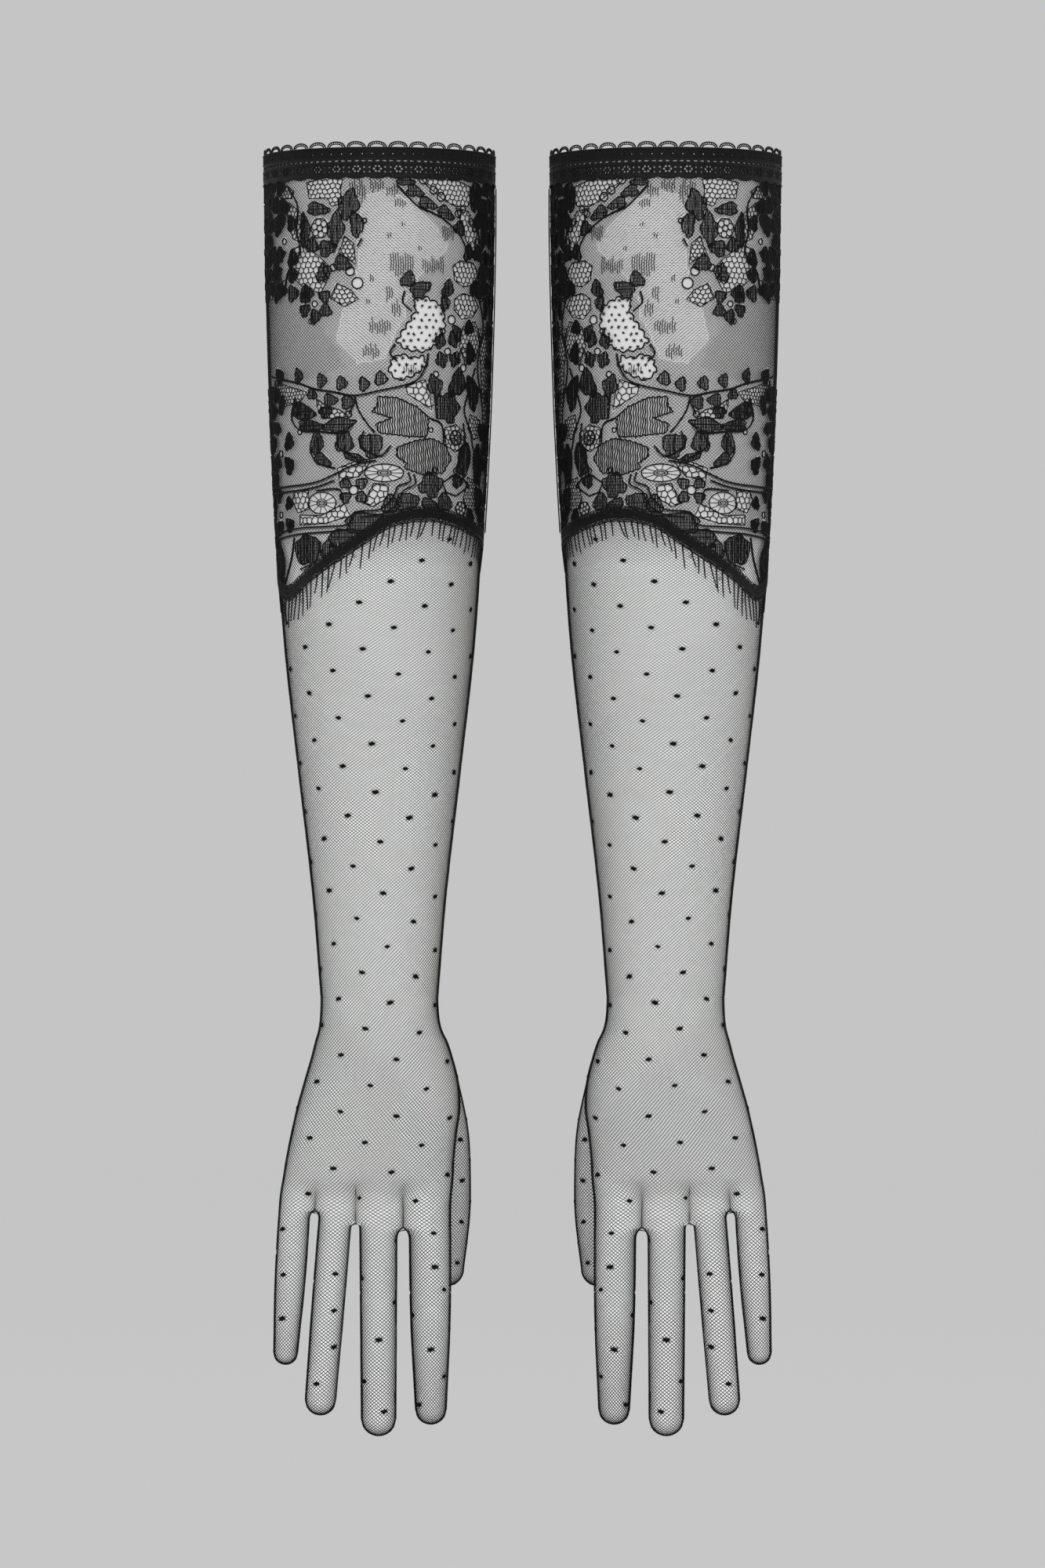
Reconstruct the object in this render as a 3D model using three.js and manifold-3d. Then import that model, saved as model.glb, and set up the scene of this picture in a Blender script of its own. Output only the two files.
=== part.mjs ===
// A pair of net opera gloves: a lace cuff on a picot-edged elastic band, a scalloped border with
// an eyelash fringe, and a dotted net sleeve and hand with five stalls that bend.
// Millimetres, +Z up. The gloves hang fingers down with the backs of the hands towards -Y, and the
// origin lies midway between the two cuffs, level with the top of their bands. The right glove is
// modelled round its own upright axis, thumb towards +X, and the left glove is its mirror image.
import * as THREE from "three";
import { mergeVertices } from "three/addons/utils/BufferGeometryUtils.js";
import Module from "manifold-3d";

const wasm = await Module();
wasm.setup();

// ---------------------------------------------------------------- driving dimensions

const gloveSpacing = 124.1; // between the upright axes of the two gloves

const rimWidth = 100.6; // across the elastic band, outside
const rimDepth = 96;
const wristWidth = 50.6;
const wristDepth = 38;
const wristDrop = 364; // top of the band to the narrowest part of the wrist
const wristLength = 24; // length of the wrist section, centred on the narrowest part

const bandHeight = 13;
const bandWall = 1;
const picotHeight = 2.6;
const picotStem = 0.9; // solid foot under the loops
const picotCount = 34;
const laceWall = 0.8;
const borderHeight = 6;
const borderWall = 1;
const fringeLength = 11;
const fringeWall = 0.6;
const seamTapeWidth = 5;
const seamTapeWall = 0.6;
const seamRadius = 0.6;

const netWall = 0.8; // stands for net a few tenths thick
const clearance = 0.3; // between pieces that touch

const palmWidth = 75.8; // across the knuckles
const palmLength = 95; // narrowest part of the wrist to the webs of the fingers
const knuckleDepth = 19.2; // thickness of the hand at the webs

// Each finger: centre line across the hand as a share of palmWidth, its lean, its widths at the
// root, the joint and the tip, and its joint and tip below the webs of the hand.
const fingers = [
  { name: "index", across: 0.289, lean: 0.004, widths: [18, 17.3, 13.4], joint: 42, tip: 91 },
  { name: "middle", across: -0.006, lean: 0, widths: [16.4, 15.6, 15], joint: 42, tip: 96 },
  { name: "ring", across: -0.252, lean: -0.082, widths: [14, 14, 13.2], joint: 37, tip: 87 },
  { name: "little", across: -0.488, lean: -0.064, widths: [13.2, 13.2, 10.4], joint: 25, tip: 65 },
];
const fingerDepthShare = 0.92; // thickness of a finger over its width
const fingerCurl = 5; // how far a fingertip stands forward of its root

// Thumb: stations down its centre line, below the narrowest part of the wrist.
const thumbDrops = [20, 40, 60, 81, 98, 121];
const thumbAcross = [16, 24, 28.8, 30.2, 30.2, 28.8];
const thumbForward = [6, 15, 24, 30, 34, 38];
const thumbHalfWidth = [13, 10.8, 9.8, 9.3, 8.9, 7.6];
const thumbJoint = 61; // the thumb bends here, below the narrowest part of the wrist

// Lower edge of the lace: angle round the arm in degrees, from the thumb side over the back of the
// hand, and depth below the top of the band. One wide scallop lies over the back of the arm and a
// narrower one over its inner side.
const scallop = [
  [-60, 188], [-38, 181], [-15, 173], [18, 167], [43, 162], [62, 159.5],
  [83, 162.5], [100, 171], [129, 184], [153, 193], [180, 184], [207, 170], [235, 161], [265, 170],
];

const columns = 36; // facets round the cuff
const sleeveColumns = 28;
const stallColumns = 12;

// ---------------------------------------------------------------- shape of the limb

// Smooth value at x on a curve through [x, value] points sorted by x.
function along(points, x) {
  const last = points.length - 1;
  if (x <= points[0][0]) return points[0][1];
  if (x >= points[last][0]) return points[last][1];
  const i = points.findIndex((p) => p[0] > x) - 1;
  const slope = (k) => {
    const a = points[Math.max(k - 1, 0)];
    const b = points[Math.min(k + 1, last)];
    return (b[1] - a[1]) / (b[0] - a[0]);
  };
  const span = points[i + 1][0] - points[i][0];
  const t = (x - points[i][0]) / span;
  const rise = points[i + 1][1] - points[i][1];
  const m0 = slope(i) * span;
  const m1 = slope(i + 1) * span;
  return points[i][1] + m0 * t + (3 * rise - 2 * m0 - m1) * t * t + (m0 + m1 - 2 * rise) * t * t * t;
}

// Share of the way from the wrist's size back to the rim's size, by share of the sleeve's length.
const armTaper = [
  [0, 1], [0.1, 1], [0.28, 0.93], [0.43, 0.82], [0.58, 0.67], [0.73, 0.415], [0.88, 0.15], [1, 0],
];
// Edges and thickness of the hand by share of palmLength: little-finger side and thumb side as
// shares of palmWidth, and half the thickness from the wrist's (1) to the knuckles' (0).
const littleSide = [
  [0, -0.334], [0.13, -0.346], [0.25, -0.379], [0.39, -0.429], [0.52, -0.474], [0.74, -0.532], [1, -0.58],
];
const thumbSide = [
  [0, 0.334], [0.13, 0.354], [0.25, 0.406], [0.39, 0.451], [0.52, 0.46], [0.62, 0.442], [0.78, 0.424], [1, 0.42],
];
const handThickness = [
  [0, 1], [0.25, 0.83], [0.52, 0.72], [0.74, 0.53], [0.9, 0.2], [1, 0],
];

const laceOutside = clearance + laceWall;
const skinRimWidth = rimWidth - 2 * (clearance + bandWall);
const skinRimDepth = rimDepth - 2 * (clearance + bandWall);

// Section of the limb at a depth below the top of the band: its side edges, half its thickness
// and the power of its super-ellipse. The outside of the net lies on it.
function section(drop) {
  if (drop <= wristDrop) {
    const share = along(armTaper, drop / wristDrop);
    const half = (wristWidth + (skinRimWidth - wristWidth) * share) / 2;
    return { left: -half, right: half, depth: (wristDepth + (skinRimDepth - wristDepth) * share) / 2, power: 2 };
  }
  const share = (drop - wristDrop) / palmLength;
  const settle = Math.min(share / 0.2, 1); // the wrist's own width gives way to the palm's
  const edge = (curve, side) =>
    (side * wristWidth * (1 - settle)) / 2 + palmWidth * along(curve, share) * settle;
  return {
    left: edge(littleSide, -1),
    right: edge(thumbSide, 1),
    depth: (knuckleDepth + (wristDepth - knuckleDepth) * along(handThickness, share)) / 2,
    power: 2 + 0.7 * Math.min(share, 1),
  };
}

// Point on the limb at an angle from the thumb side over the back of the hand, stood off by offset.
function skin(angle, drop, offset) {
  const s = section(drop);
  const round = (v) => Math.sign(v) * Math.pow(Math.abs(v), 2 / s.power);
  return new THREE.Vector3(
    (s.left + s.right) / 2 + ((s.right - s.left) / 2 + offset) * round(Math.cos(angle)),
    -(s.depth + offset) * round(Math.sin(angle)),
    -drop,
  );
}

const degree = Math.PI / 180;

// Depth of the lace's scalloped edge at an angle round the arm.
function scallopDrop(angle) {
  const first = scallop[0][0];
  const turn = (((angle / degree - first) % 360) + 360) % 360;
  const closed = [...scallop, [first + 360, scallop[0][1]]];
  return along(closed, first + turn);
}

// ---------------------------------------------------------------- meshes from rings of points

// Stitches each ring of points to the next; the rings run down the outside of a piece.
function stitch(rings, wrap) {
  const count = rings[0].length;
  const positions = rings.flat().flatMap((p) => p.toArray());
  const index = [];
  const spans = wrap ? rings.length : rings.length - 1;
  for (let i = 0; i < spans; i++) {
    const next = (i + 1) % rings.length;
    for (let j = 0; j < count; j++) {
      const k = (j + 1) % count;
      const [a, b, c, d] = [i * count + j, next * count + j, i * count + k, next * count + k];
      index.push(a, c, b, b, c, d);
    }
  }
  return { positions, index, count };
}

function geometryFrom(positions, index) {
  const geometry = new THREE.BufferGeometry();
  geometry.setAttribute("position", new THREE.Float32BufferAttribute(positions, 3));
  geometry.setIndex(index);
  return geometry;
}

// An open tube with a wall: rings down its outside and back up its inside.
function tube(rings) {
  const { positions, index } = stitch(rings, true);
  return geometryFrom(positions, index);
}

// A solid body, closed at both ends by fans to the middle of its end rings.
function body(rings) {
  const { positions, index, count } = stitch(rings, false);
  const middle = (ring) =>
    ring.reduce((sum, p) => sum.add(p), new THREE.Vector3()).divideScalar(ring.length);
  const last = (rings.length - 1) * count;
  const top = rings.length * count;
  positions.push(...middle(rings[0]).toArray(), ...middle(rings[rings.length - 1]).toArray());
  for (let j = 0; j < count; j++) {
    const k = (j + 1) % count;
    index.push(top, k, j, top + 1, last + j, last + k);
  }
  return geometryFrom(positions, index);
}

// Wall on the limb between two depths, which may change with the angle.
function limbWall({ from, to, inside, wall, around = columns, rows = 1 }) {
  const ring = (share, offset) =>
    Array.from({ length: around }, (_, j) => {
      const angle = (2 * Math.PI * j) / around;
      return skin(angle, THREE.MathUtils.lerp(from(angle), to(angle), share), offset);
    });
  const shares = Array.from({ length: rows + 1 }, (_, i) => i / rows);
  return tube([
    ...shares.map((share) => ring(share, inside + wall)),
    ...shares.reverse().map((share) => ring(share, inside)),
  ]);
}

// ---------------------------------------------------------------- solids

function solid(geometry) {
  const merged = mergeVertices(geometry, 1e-4);
  return new wasm.Manifold(
    new wasm.Mesh({
      numProp: 3,
      vertProperties: merged.attributes.position.array,
      triVerts: new Uint32Array(merged.index.array),
    }),
  );
}

function geometryOf(made) {
  const mesh = made.getMesh();
  return geometryFrom(Array.from(mesh.vertProperties), Array.from(mesh.triVerts));
}

// A block that fills one side of a plane across the y or z axis.
function sideOf(axis, value, positive) {
  const reach = 2000;
  const box = new THREE.BoxGeometry(reach, reach, reach);
  const shift = value + (positive ? reach / 2 : -reach / 2);
  box.translate(0, axis === "y" ? shift : 0, axis === "z" ? shift : 0);
  box.deleteAttribute("normal");
  box.deleteAttribute("uv");
  return solid(box);
}

const above = (made, drop) => made.intersect(sideOf("z", -drop + clearance / 2, true));
const below = (made, drop) => made.intersect(sideOf("z", -drop - clearance / 2, false));
const backHalf = (made) => made.intersect(sideOf("y", -clearance / 2, false));
const palmHalf = (made) => made.intersect(sideOf("y", clearance / 2, true));

// A rounded stall: rings round a leaning centre line, with a domed end.
function stall(centre, halfWidth, depthShare, fromDrop, tipDrop, shrink) {
  const dome = halfWidth(tipDrop);
  const start = tipDrop - dome;
  const steps = 5;
  const domeShares = [0.4, 0.7, 0.9];
  const ring = (drop, scale) => {
    const c = centre(Math.min(drop, tipDrop));
    const half = (halfWidth(drop) - shrink) * scale;
    return Array.from({ length: stallColumns }, (_, j) => {
      const angle = (2 * Math.PI * j) / stallColumns;
      return new THREE.Vector3(
        c.x + half * Math.cos(angle),
        c.y - half * depthShare * Math.sin(angle),
        -drop,
      );
    });
  };
  const rings = Array.from({ length: steps + 1 }, (_, i) =>
    ring(THREE.MathUtils.lerp(fromDrop, start, i / steps), 1),
  );
  for (const share of domeShares)
    rings.push(ring(start + (dome - shrink) * share, Math.sqrt(1 - share * share)));
  const pole = ring(start + (dome - shrink) * 0.99, 0.12);
  return solid(body([...rings, pole]));
}

// ---------------------------------------------------------------- the pieces of one glove

const black = { color: 0x131313, roughness: 0.85, metalness: 0 };
const netBlack = { color: 0x1b1b1b, roughness: 0.7, metalness: 0 };
const bandBlack = { color: 0x0e0e0e, roughness: 0.6, metalness: 0 };
const pieces = [];
function piece(name, shape, finish) {
  const geometry = shape.isBufferGeometry ? shape : geometryOf(shape);
  pieces.push({ name, geometry, finish });
}

const laceEdge = (angle) => scallopDrop(angle);
const borderTop = (angle) => laceEdge(angle) - borderHeight;
const fringeTop = (angle) => laceEdge(angle) + clearance;
const fringeEnd = (angle) => fringeTop(angle) + fringeLength;
const wristTop = wristDrop - wristLength / 2;
const wristEnd = wristDrop + wristLength / 2;
const webDrop = wristDrop + palmLength;
const level = (drop) => () => drop;

function picotEdging() {
  const perLoop = 2;
  return limbWall({
    from: (angle) =>
      -clearance - picotStem - (picotHeight - picotStem) * Math.abs(Math.sin((angle * picotCount) / 2)),
    to: level(-clearance),
    inside: clearance,
    wall: bandWall,
    around: picotCount * perLoop,
  });
}

// Tape over the joined ends of the lace, down the thumb side of the cuff.
function cuffSeam() {
  const rows = 5;
  const inside = laceOutside + clearance;
  const halfAngle = seamTapeWidth / rimDepth;
  const ends = [bandHeight + clearance, borderTop(0) - clearance];
  const ring = (share) => {
    const drop = THREE.MathUtils.lerp(ends[0], ends[1], share);
    return [
      skin(-halfAngle, drop, inside + seamTapeWall),
      skin(0, drop, inside + seamTapeWall),
      skin(halfAngle, drop, inside + seamTapeWall),
      skin(halfAngle, drop, inside),
      skin(0, drop, inside),
      skin(-halfAngle, drop, inside),
    ];
  };
  return body(Array.from({ length: rows + 1 }, (_, i) => ring(i / rows)));
}

// Rounded ridge where the net's back and palm panels meet, along one side of the sleeve.
function sleeveSeam(angle) {
  const rows = 7;
  const sides = 6;
  const start = fringeEnd(angle) + clearance;
  const end = wristTop - clearance / 2;
  const ring = (share) => {
    const drop = THREE.MathUtils.lerp(start, end, share);
    const c = skin(angle, drop, clearance + seamRadius);
    return Array.from({ length: sides }, (_, j) => {
      const turn = (2 * Math.PI * j) / sides;
      return new THREE.Vector3(c.x + seamRadius * Math.cos(turn), c.y - seamRadius * Math.sin(turn), c.z);
    });
  };
  return body(Array.from({ length: rows + 1 }, (_, i) => ring(i / rows)));
}

// Solid filling of the palm between the wrist section and the webs, thinner by shrink all round.
function palmBody(shrink) {
  const drops = [0.1, 0.25, 0.39, 0.52, 0.64, 0.78, 0.9, 1].map((share) => wristDrop + palmLength * share);
  drops[0] = wristEnd - (shrink ? 1 : 0);
  drops[drops.length - 1] -= shrink;
  const ring = (drop) =>
    Array.from({ length: sleeveColumns }, (_, j) => skin((2 * Math.PI * j) / sleeveColumns, drop, -shrink));
  return solid(body(drops.map(ring)));
}

function fingerBody(finger, shrink) {
  const tipDrop = webDrop + finger.tip;
  const rootDrop = webDrop - 16;
  const halves = [
    [rootDrop, finger.widths[0] / 2],
    [webDrop + finger.joint, finger.widths[1] / 2],
    [tipDrop - finger.widths[2] / 2, finger.widths[2] / 2],
  ];
  const centre = (drop) => {
    const share = (drop - rootDrop) / (tipDrop - rootDrop);
    return {
      x: finger.across * palmWidth + finger.lean * (drop - webDrop),
      y: fingerCurl * share * share,
    };
  };
  return stall(centre, (drop) => along(halves, drop), fingerDepthShare, rootDrop, tipDrop, shrink);
}

function thumbBody(shrink) {
  const drops = thumbDrops.map((drop) => wristDrop + drop);
  const curve = (values) => drops.map((drop, i) => [drop, values[i]]);
  const centre = (drop) => ({ x: along(curve(thumbAcross), drop), y: along(curve(thumbForward), drop) });
  const tipDrop = drops[drops.length - 1] + thumbHalfWidth[thumbHalfWidth.length - 1];
  return stall(centre, (drop) => along(curve(thumbHalfWidth), drop), 1, drops[0], tipDrop, shrink);
}

function buildSleeve() {
  piece("picot_edging", picotEdging(), bandBlack);
  piece("elastic_band", limbWall({ from: level(0), to: level(bandHeight), inside: clearance, wall: bandWall }), bandBlack);
  piece(
    "lace_cuff",
    limbWall({
      from: level(bandHeight + clearance),
      to: (angle) => borderTop(angle) - clearance,
      inside: clearance,
      wall: laceWall,
      rows: 4,
    }),
    black,
  );
  piece("cuff_seam_tape", cuffSeam(), black);
  piece("scallop_border", limbWall({ from: borderTop, to: laceEdge, inside: clearance, wall: borderWall }), black);
  piece("eyelash_fringe", limbWall({ from: fringeTop, to: fringeEnd, inside: clearance, wall: fringeWall }), black);
  const net = solid(
    limbWall({
      from: borderTop,
      to: level(wristTop - clearance / 2),
      inside: -netWall,
      wall: netWall,
      around: sleeveColumns,
      rows: 6,
    }),
  );
  piece("sleeve_back_panel", backHalf(net), netBlack);
  piece("sleeve_palm_panel", palmHalf(net), netBlack);
  piece("thumb_side_seam", sleeveSeam(0), black);
  piece("little_side_seam", sleeveSeam(Math.PI), black);
}

function buildHand() {
  piece(
    "wrist_net",
    limbWall({
      from: level(wristTop + clearance / 2),
      to: level(wristEnd - clearance / 2),
      inside: -netWall,
      wall: netWall,
      around: sleeveColumns,
      rows: 2,
    }),
    netBlack,
  );
  let outer = palmBody(0);
  let inner = palmBody(netWall);
  const stalls = fingers.map((finger) => ({ name: finger.name, cut: webDrop + finger.joint, make: (s) => fingerBody(finger, s) }));
  stalls.push({ name: "thumb", cut: wristDrop + thumbJoint, make: thumbBody });
  for (const { name, cut, make } of stalls) {
    const whole = make(0);
    const hollow = make(netWall);
    outer = outer.add(above(whole, cut));
    inner = inner.add(hollow);
    piece(name + "_stall", below(whole.subtract(hollow), cut), netBlack);
  }
  const hand = below(outer.subtract(inner), wristEnd);
  piece("hand_back_panel", backHalf(hand), netBlack);
  piece("hand_palm_panel", palmHalf(hand), netBlack);
}

buildSleeve();
buildHand();

// ---------------------------------------------------------------- the pair

function glove(side, mirror) {
  const group = new THREE.Group();
  group.position.x = (-mirror * gloveSpacing) / 2;
  group.scale.x = mirror;
  for (const { name, geometry, finish } of pieces) {
    const mesh = new THREE.Mesh(geometry, new THREE.MeshStandardMaterial(finish));
    mesh.name = side + "_" + name;
    group.add(mesh);
  }
  return group;
}

const pair = new THREE.Group();
pair.name = "opera_gloves";
pair.add(glove("right", 1));
pair.add(glove("left", -1));

export default pair;
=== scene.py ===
import math
import bmesh
import bpy
import numpy as np
from mathutils import Matrix, Vector
from mathutils.geometry import delaunay_2d_cdt


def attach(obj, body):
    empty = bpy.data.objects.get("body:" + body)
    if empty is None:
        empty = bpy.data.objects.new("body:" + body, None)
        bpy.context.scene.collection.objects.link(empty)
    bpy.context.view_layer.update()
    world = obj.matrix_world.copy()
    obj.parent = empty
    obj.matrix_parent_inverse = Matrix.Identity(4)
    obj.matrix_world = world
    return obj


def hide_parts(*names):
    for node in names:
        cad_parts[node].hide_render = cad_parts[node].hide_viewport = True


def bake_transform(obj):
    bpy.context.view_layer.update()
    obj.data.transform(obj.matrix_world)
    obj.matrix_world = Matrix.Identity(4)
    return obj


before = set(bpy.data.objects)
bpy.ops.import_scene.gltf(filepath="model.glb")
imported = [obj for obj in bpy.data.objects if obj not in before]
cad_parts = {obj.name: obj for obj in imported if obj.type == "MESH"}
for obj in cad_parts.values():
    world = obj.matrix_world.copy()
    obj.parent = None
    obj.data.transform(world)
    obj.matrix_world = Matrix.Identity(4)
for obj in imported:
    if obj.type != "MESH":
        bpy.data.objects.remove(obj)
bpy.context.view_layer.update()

# All glove sizes are in millimetres, on the right glove's own upright axis, thumb towards +X and
# the back of the hand towards -Y. "drop" is the depth below the top of the elastic band.
mm = 0.001
rng = np.random.default_rng(7)
scene = bpy.context.scene

# ---- camera

view = {"distance": 3.0, "height": -0.272, "frameHeight": 0.680, "sensor": 36.0}
cameraData = bpy.data.cameras.new("camera")
cameraData.sensor_width = view["sensor"]
cameraData.lens = view["sensor"] * view["distance"] / view["frameHeight"]
cameraData.clip_end = 60
camera = bpy.data.objects.new("camera", cameraData)
camera.location = (0, -view["distance"], view["height"])
camera.rotation_euler = (math.radians(90), 0, 0)
scene.collection.objects.link(camera)
scene.camera = camera
scene.view_settings.view_transform = "Standard"


# ---- materials

class Sock:
    # wraps a socket, so that shader maths reads as Python

    def __init__(self, tree, socket):
        self.tree, self.socket = tree, socket

    def maths(self, operation, *others, swap=False):
        made = self.tree.nodes.new("ShaderNodeMath")
        made.operation = operation
        values = [self, *others]
        if swap:
            values.reverse()
        for at, value in enumerate(values):
            if isinstance(value, Sock):
                self.tree.links.new(value.socket, made.inputs[at])
            else:
                made.inputs[at].default_value = value
        return Sock(self.tree, made.outputs[0])

    def __add__(self, other): return self.maths("ADD", other)
    def __radd__(self, other): return self.maths("ADD", other)
    def __sub__(self, other): return self.maths("SUBTRACT", other)
    def __rsub__(self, other): return self.maths("SUBTRACT", other, swap=True)
    def __mul__(self, other): return self.maths("MULTIPLY", other)
    def __rmul__(self, other): return self.maths("MULTIPLY", other)
    def __truediv__(self, other): return self.maths("DIVIDE", other)
    def clamped(self): return self.maths("MAXIMUM", 0.0).maths("MINIMUM", 1.0)


class Finish:
    # one material under construction

    def __init__(self, name):
        self.material = bpy.data.materials.new(name)
        self.material.use_nodes = True
        self.tree = self.material.node_tree
        self.tree.nodes.clear()
        self.output = self.tree.nodes.new("ShaderNodeOutputMaterial")

    def node(self, kind, settings=None, **values):
        made = self.tree.nodes.new("ShaderNode" + kind)
        for name, value in (settings or {}).items():
            if name == "stops":
                ramp = made.color_ramp
                for at, (place, colour) in enumerate(value):
                    stop = ramp.elements[at] if at < 2 else ramp.elements.new(place)
                    stop.position, stop.color = place, (*colour, 1)
            else:
                setattr(made, name, value)
        for name, value in values.items():
            socket = made.inputs[name.replace("_", " ")]
            if isinstance(value, Sock):
                self.tree.links.new(value.socket, socket)
            else:
                socket.default_value = value
        return made

    def out(self, made, name=0):
        return Sock(self.tree, made.outputs[name])

    def place(self):
        return self.out(self.node("TexCoord"), "Object")

    def finish(self, shader):
        self.tree.links.new(shader.outputs[0], self.output.inputs["Surface"])
        return self.material


threadFinishes = {
    # colour, roughness, sheen, specular, twists per metre, bump depth in metres
    "netThread": [(0.004, 0.004, 0.0042), 0.62, 0.0, 0.10, 2600, 0.00003],
    "dotThread": [(0.004, 0.004, 0.0042), 0.8, 0.0, 0.10, 3000, 0.00006],
    "laceThread": [(0.005, 0.005, 0.0052), 0.7, 0.0, 0.12, 2200, 0.00005],
    "laceCord": [(0.004, 0.004, 0.0042), 0.62, 0.02, 0.16, 1500, 0.00008],
    "bandThread": [(0.004, 0.004, 0.0042), 0.66, 0.02, 0.16, 1300, 0.00012],
    "seamThread": [(0.004, 0.004, 0.0042), 0.7, 0.02, 0.14, 1800, 0.00006],
}


def threadFinish(name):
    colour, rough, sheen, specular, twists, depth = threadFinishes[name]
    made = Finish(name)
    place = made.place()
    mottle = made.out(made.node("TexNoise", Vector=place, Scale=240.0, Detail=3.0), "Fac")
    ply = made.out(made.node("TexWave", {"bands_direction": "DIAGONAL"}, Vector=place,
                             Scale=twists / 8, Distortion=1.2), "Fac")
    grain = made.out(made.node("TexNoise", Vector=place, Scale=float(twists), Detail=2.0), "Fac")
    bump = made.node("Bump", Strength=0.7, Distance=depth, Height=ply * 0.6 + grain * 0.4)
    shader = made.node("BsdfPrincipled", Base_Color=(*colour, 1),
                       Roughness=(rough - 0.12 + mottle * 0.24).clamped(),
                       Normal=made.out(bump))
    shader.inputs["Sheen Weight"].default_value = sheen
    shader.inputs["Specular IOR Level"].default_value = specular
    return made.finish(shader)


finishes = {name: threadFinish(name) for name in threadFinishes}


def paleFinish(name, upper, lower, change, glow):
    # a matt pale paint, upper colour above the change height and lower colour under it, which also glows;
    # on the form the darker upper colour is painted shade and the glow is painted light
    made = Finish(name)
    place = made.place()
    height = made.out(made.node("SeparateXYZ", Vector=place), "Z")
    share = ((change[0] - height) / (change[0] - change[1])).clamped()
    grain = made.out(made.node("TexNoise", Vector=place, Scale=60.0, Detail=2.0), "Fac")
    mix = made.node("Mix", {"data_type": "RGBA"})
    made.tree.links.new(share.socket, mix.inputs[0])
    mix.inputs[6].default_value, mix.inputs[7].default_value = (*upper, 1), (*lower, 1)
    colour = Sock(made.tree, mix.outputs[2])
    shader = made.node("BsdfPrincipled", Base_Color=colour, Roughness=0.92 + grain * 0.06,
                       Emission_Color=colour, Emission_Strength=glow)
    shader.inputs["Specular IOR Level"].default_value = 0.0
    return made.finish(shader)


print("materials made")

# ---- shape of the limb, as the part gives it

limb = {
    "axis": 62.05, "rim": (98.0, 93.4), "wrist": (50.6, 38.0),
    "palmWidth": 75.8, "palmLength": 95.0, "knuckleDepth": 19.2,
    "armTaper": [(0, 1), (.1, 1), (.28, .93), (.43, .82), (.58, .67), (.73, .415), (.88, .15), (1, 0)],
    "littleSide": [(0, -.334), (.13, -.346), (.25, -.379), (.39, -.429), (.52, -.474), (.74, -.532),
                   (1, -.58)],
    "thumbSide": [(0, .334), (.13, .354), (.25, .406), (.39, .451), (.52, .46), (.62, .442),
                  (.78, .424), (1, .42)],
    "handThickness": [(0, 1), (.25, .83), (.52, .72), (.74, .53), (.9, .2), (1, 0)],
    "scallop": [(-60, 188), (-38, 181), (-15, 173), (18, 167), (43, 162), (62, 159.5), (83, 162.5),
                (100, 171), (129, 184), (153, 193), (180, 184), (207, 170), (235, 161), (265, 170),
                (300, 188)],
}
wristDrop = 364.0
webDrop = wristDrop + limb["palmLength"]
fingers = {
    # across at the webs, lean, half widths at root, joint and tip, joint and tip below the webs
    "little": dict(across=-.488, lean=-.064, widths=(6.6, 6.6, 5.2), joint=25, tip=65),
    "ring": dict(across=-.252, lean=-.082, widths=(7, 7, 6.6), joint=37, tip=87),
    "middle": dict(across=-.006, lean=0, widths=(8.2, 7.8, 7.5), joint=42, tip=96),
    "index": dict(across=.289, lean=.004, widths=(9, 8.65, 6.7), joint=42, tip=91),
}
fingerNames = list(fingers)
hand = {
    "rootAbove": 16, "curl": 5, "depthShare": .92,
    "webs": [(-29.0, 457.0), (-11.0, 462.0), (10.0, 465.0)],  # across and drop, little side first
    "openFrom": 441.0, "openTo": 456.0, "skinTo": 463,
}
thumb = {
    "drops": (20, 29, 40, 60, 81, 98, 121), "across": (16, 19.6, 24, 28.8, 30.2, 30.2, 28.8),
    "forward": (-1, 9, 15, 24, 30, 34, 38), "half": (11, 12, 10.8, 9.8, 9.3, 8.9, 7.6),
    "netStep": (.78, .76), "girthHalf": 9.3, "threadAt": 460,
    "dotFrom": (3, 21), "dotSteps": (15, 24), "dotShift": 11, "bareRows": 8,
}


def along(points, x):
    px, py = np.array(points, float).T
    x = np.clip(np.asarray(x, float), px[0], px[-1])
    i = np.clip(np.searchsorted(px, x, side="right") - 1, 0, len(px) - 2)
    slope = np.gradient(py, px)
    slope[1:-1] = (py[2:] - py[:-2]) / (px[2:] - px[:-2])
    span, rise = px[i + 1] - px[i], py[i + 1] - py[i]
    t, m0, m1 = (x - px[i]) / span, slope[i] * span, slope[i + 1] * span
    return py[i] + m0 * t + (3 * rise - 2 * m0 - m1) * t ** 2 + (m0 + m1 - 2 * rise) * t ** 3


def smooth(x):
    x = np.clip(x, 0, 1)
    return x * x * (3 - 2 * x)


def section(drop):
    drop = np.asarray(drop, float)
    up = along(limb["armTaper"], drop / wristDrop)
    halfWidth = (limb["wrist"][0] + (limb["rim"][0] - limb["wrist"][0]) * up) / 2
    halfDepth = (limb["wrist"][1] + (limb["rim"][1] - limb["wrist"][1]) * up) / 2
    share = (drop - wristDrop) / limb["palmLength"]
    settle = np.clip(share / .2, 0, 1)
    edge = [side * limb["wrist"][0] * (1 - settle) / 2
            + limb["palmWidth"] * along(limb[name], share) * settle
            for side, name in ((-1, "littleSide"), (1, "thumbSide"))]
    palmDepth = (limb["knuckleDepth"]
                 + (limb["wrist"][1] - limb["knuckleDepth"]) * along(limb["handThickness"], share)) / 2
    above = drop <= wristDrop
    left = np.where(above, -halfWidth, edge[0])
    right = np.where(above, halfWidth, edge[1])
    power = np.where(above, 2, 2 + .7 * np.clip(share, 0, 1))
    return (left + right) / 2, (right - left) / 2, np.where(above, halfDepth, palmDepth), power


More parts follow.
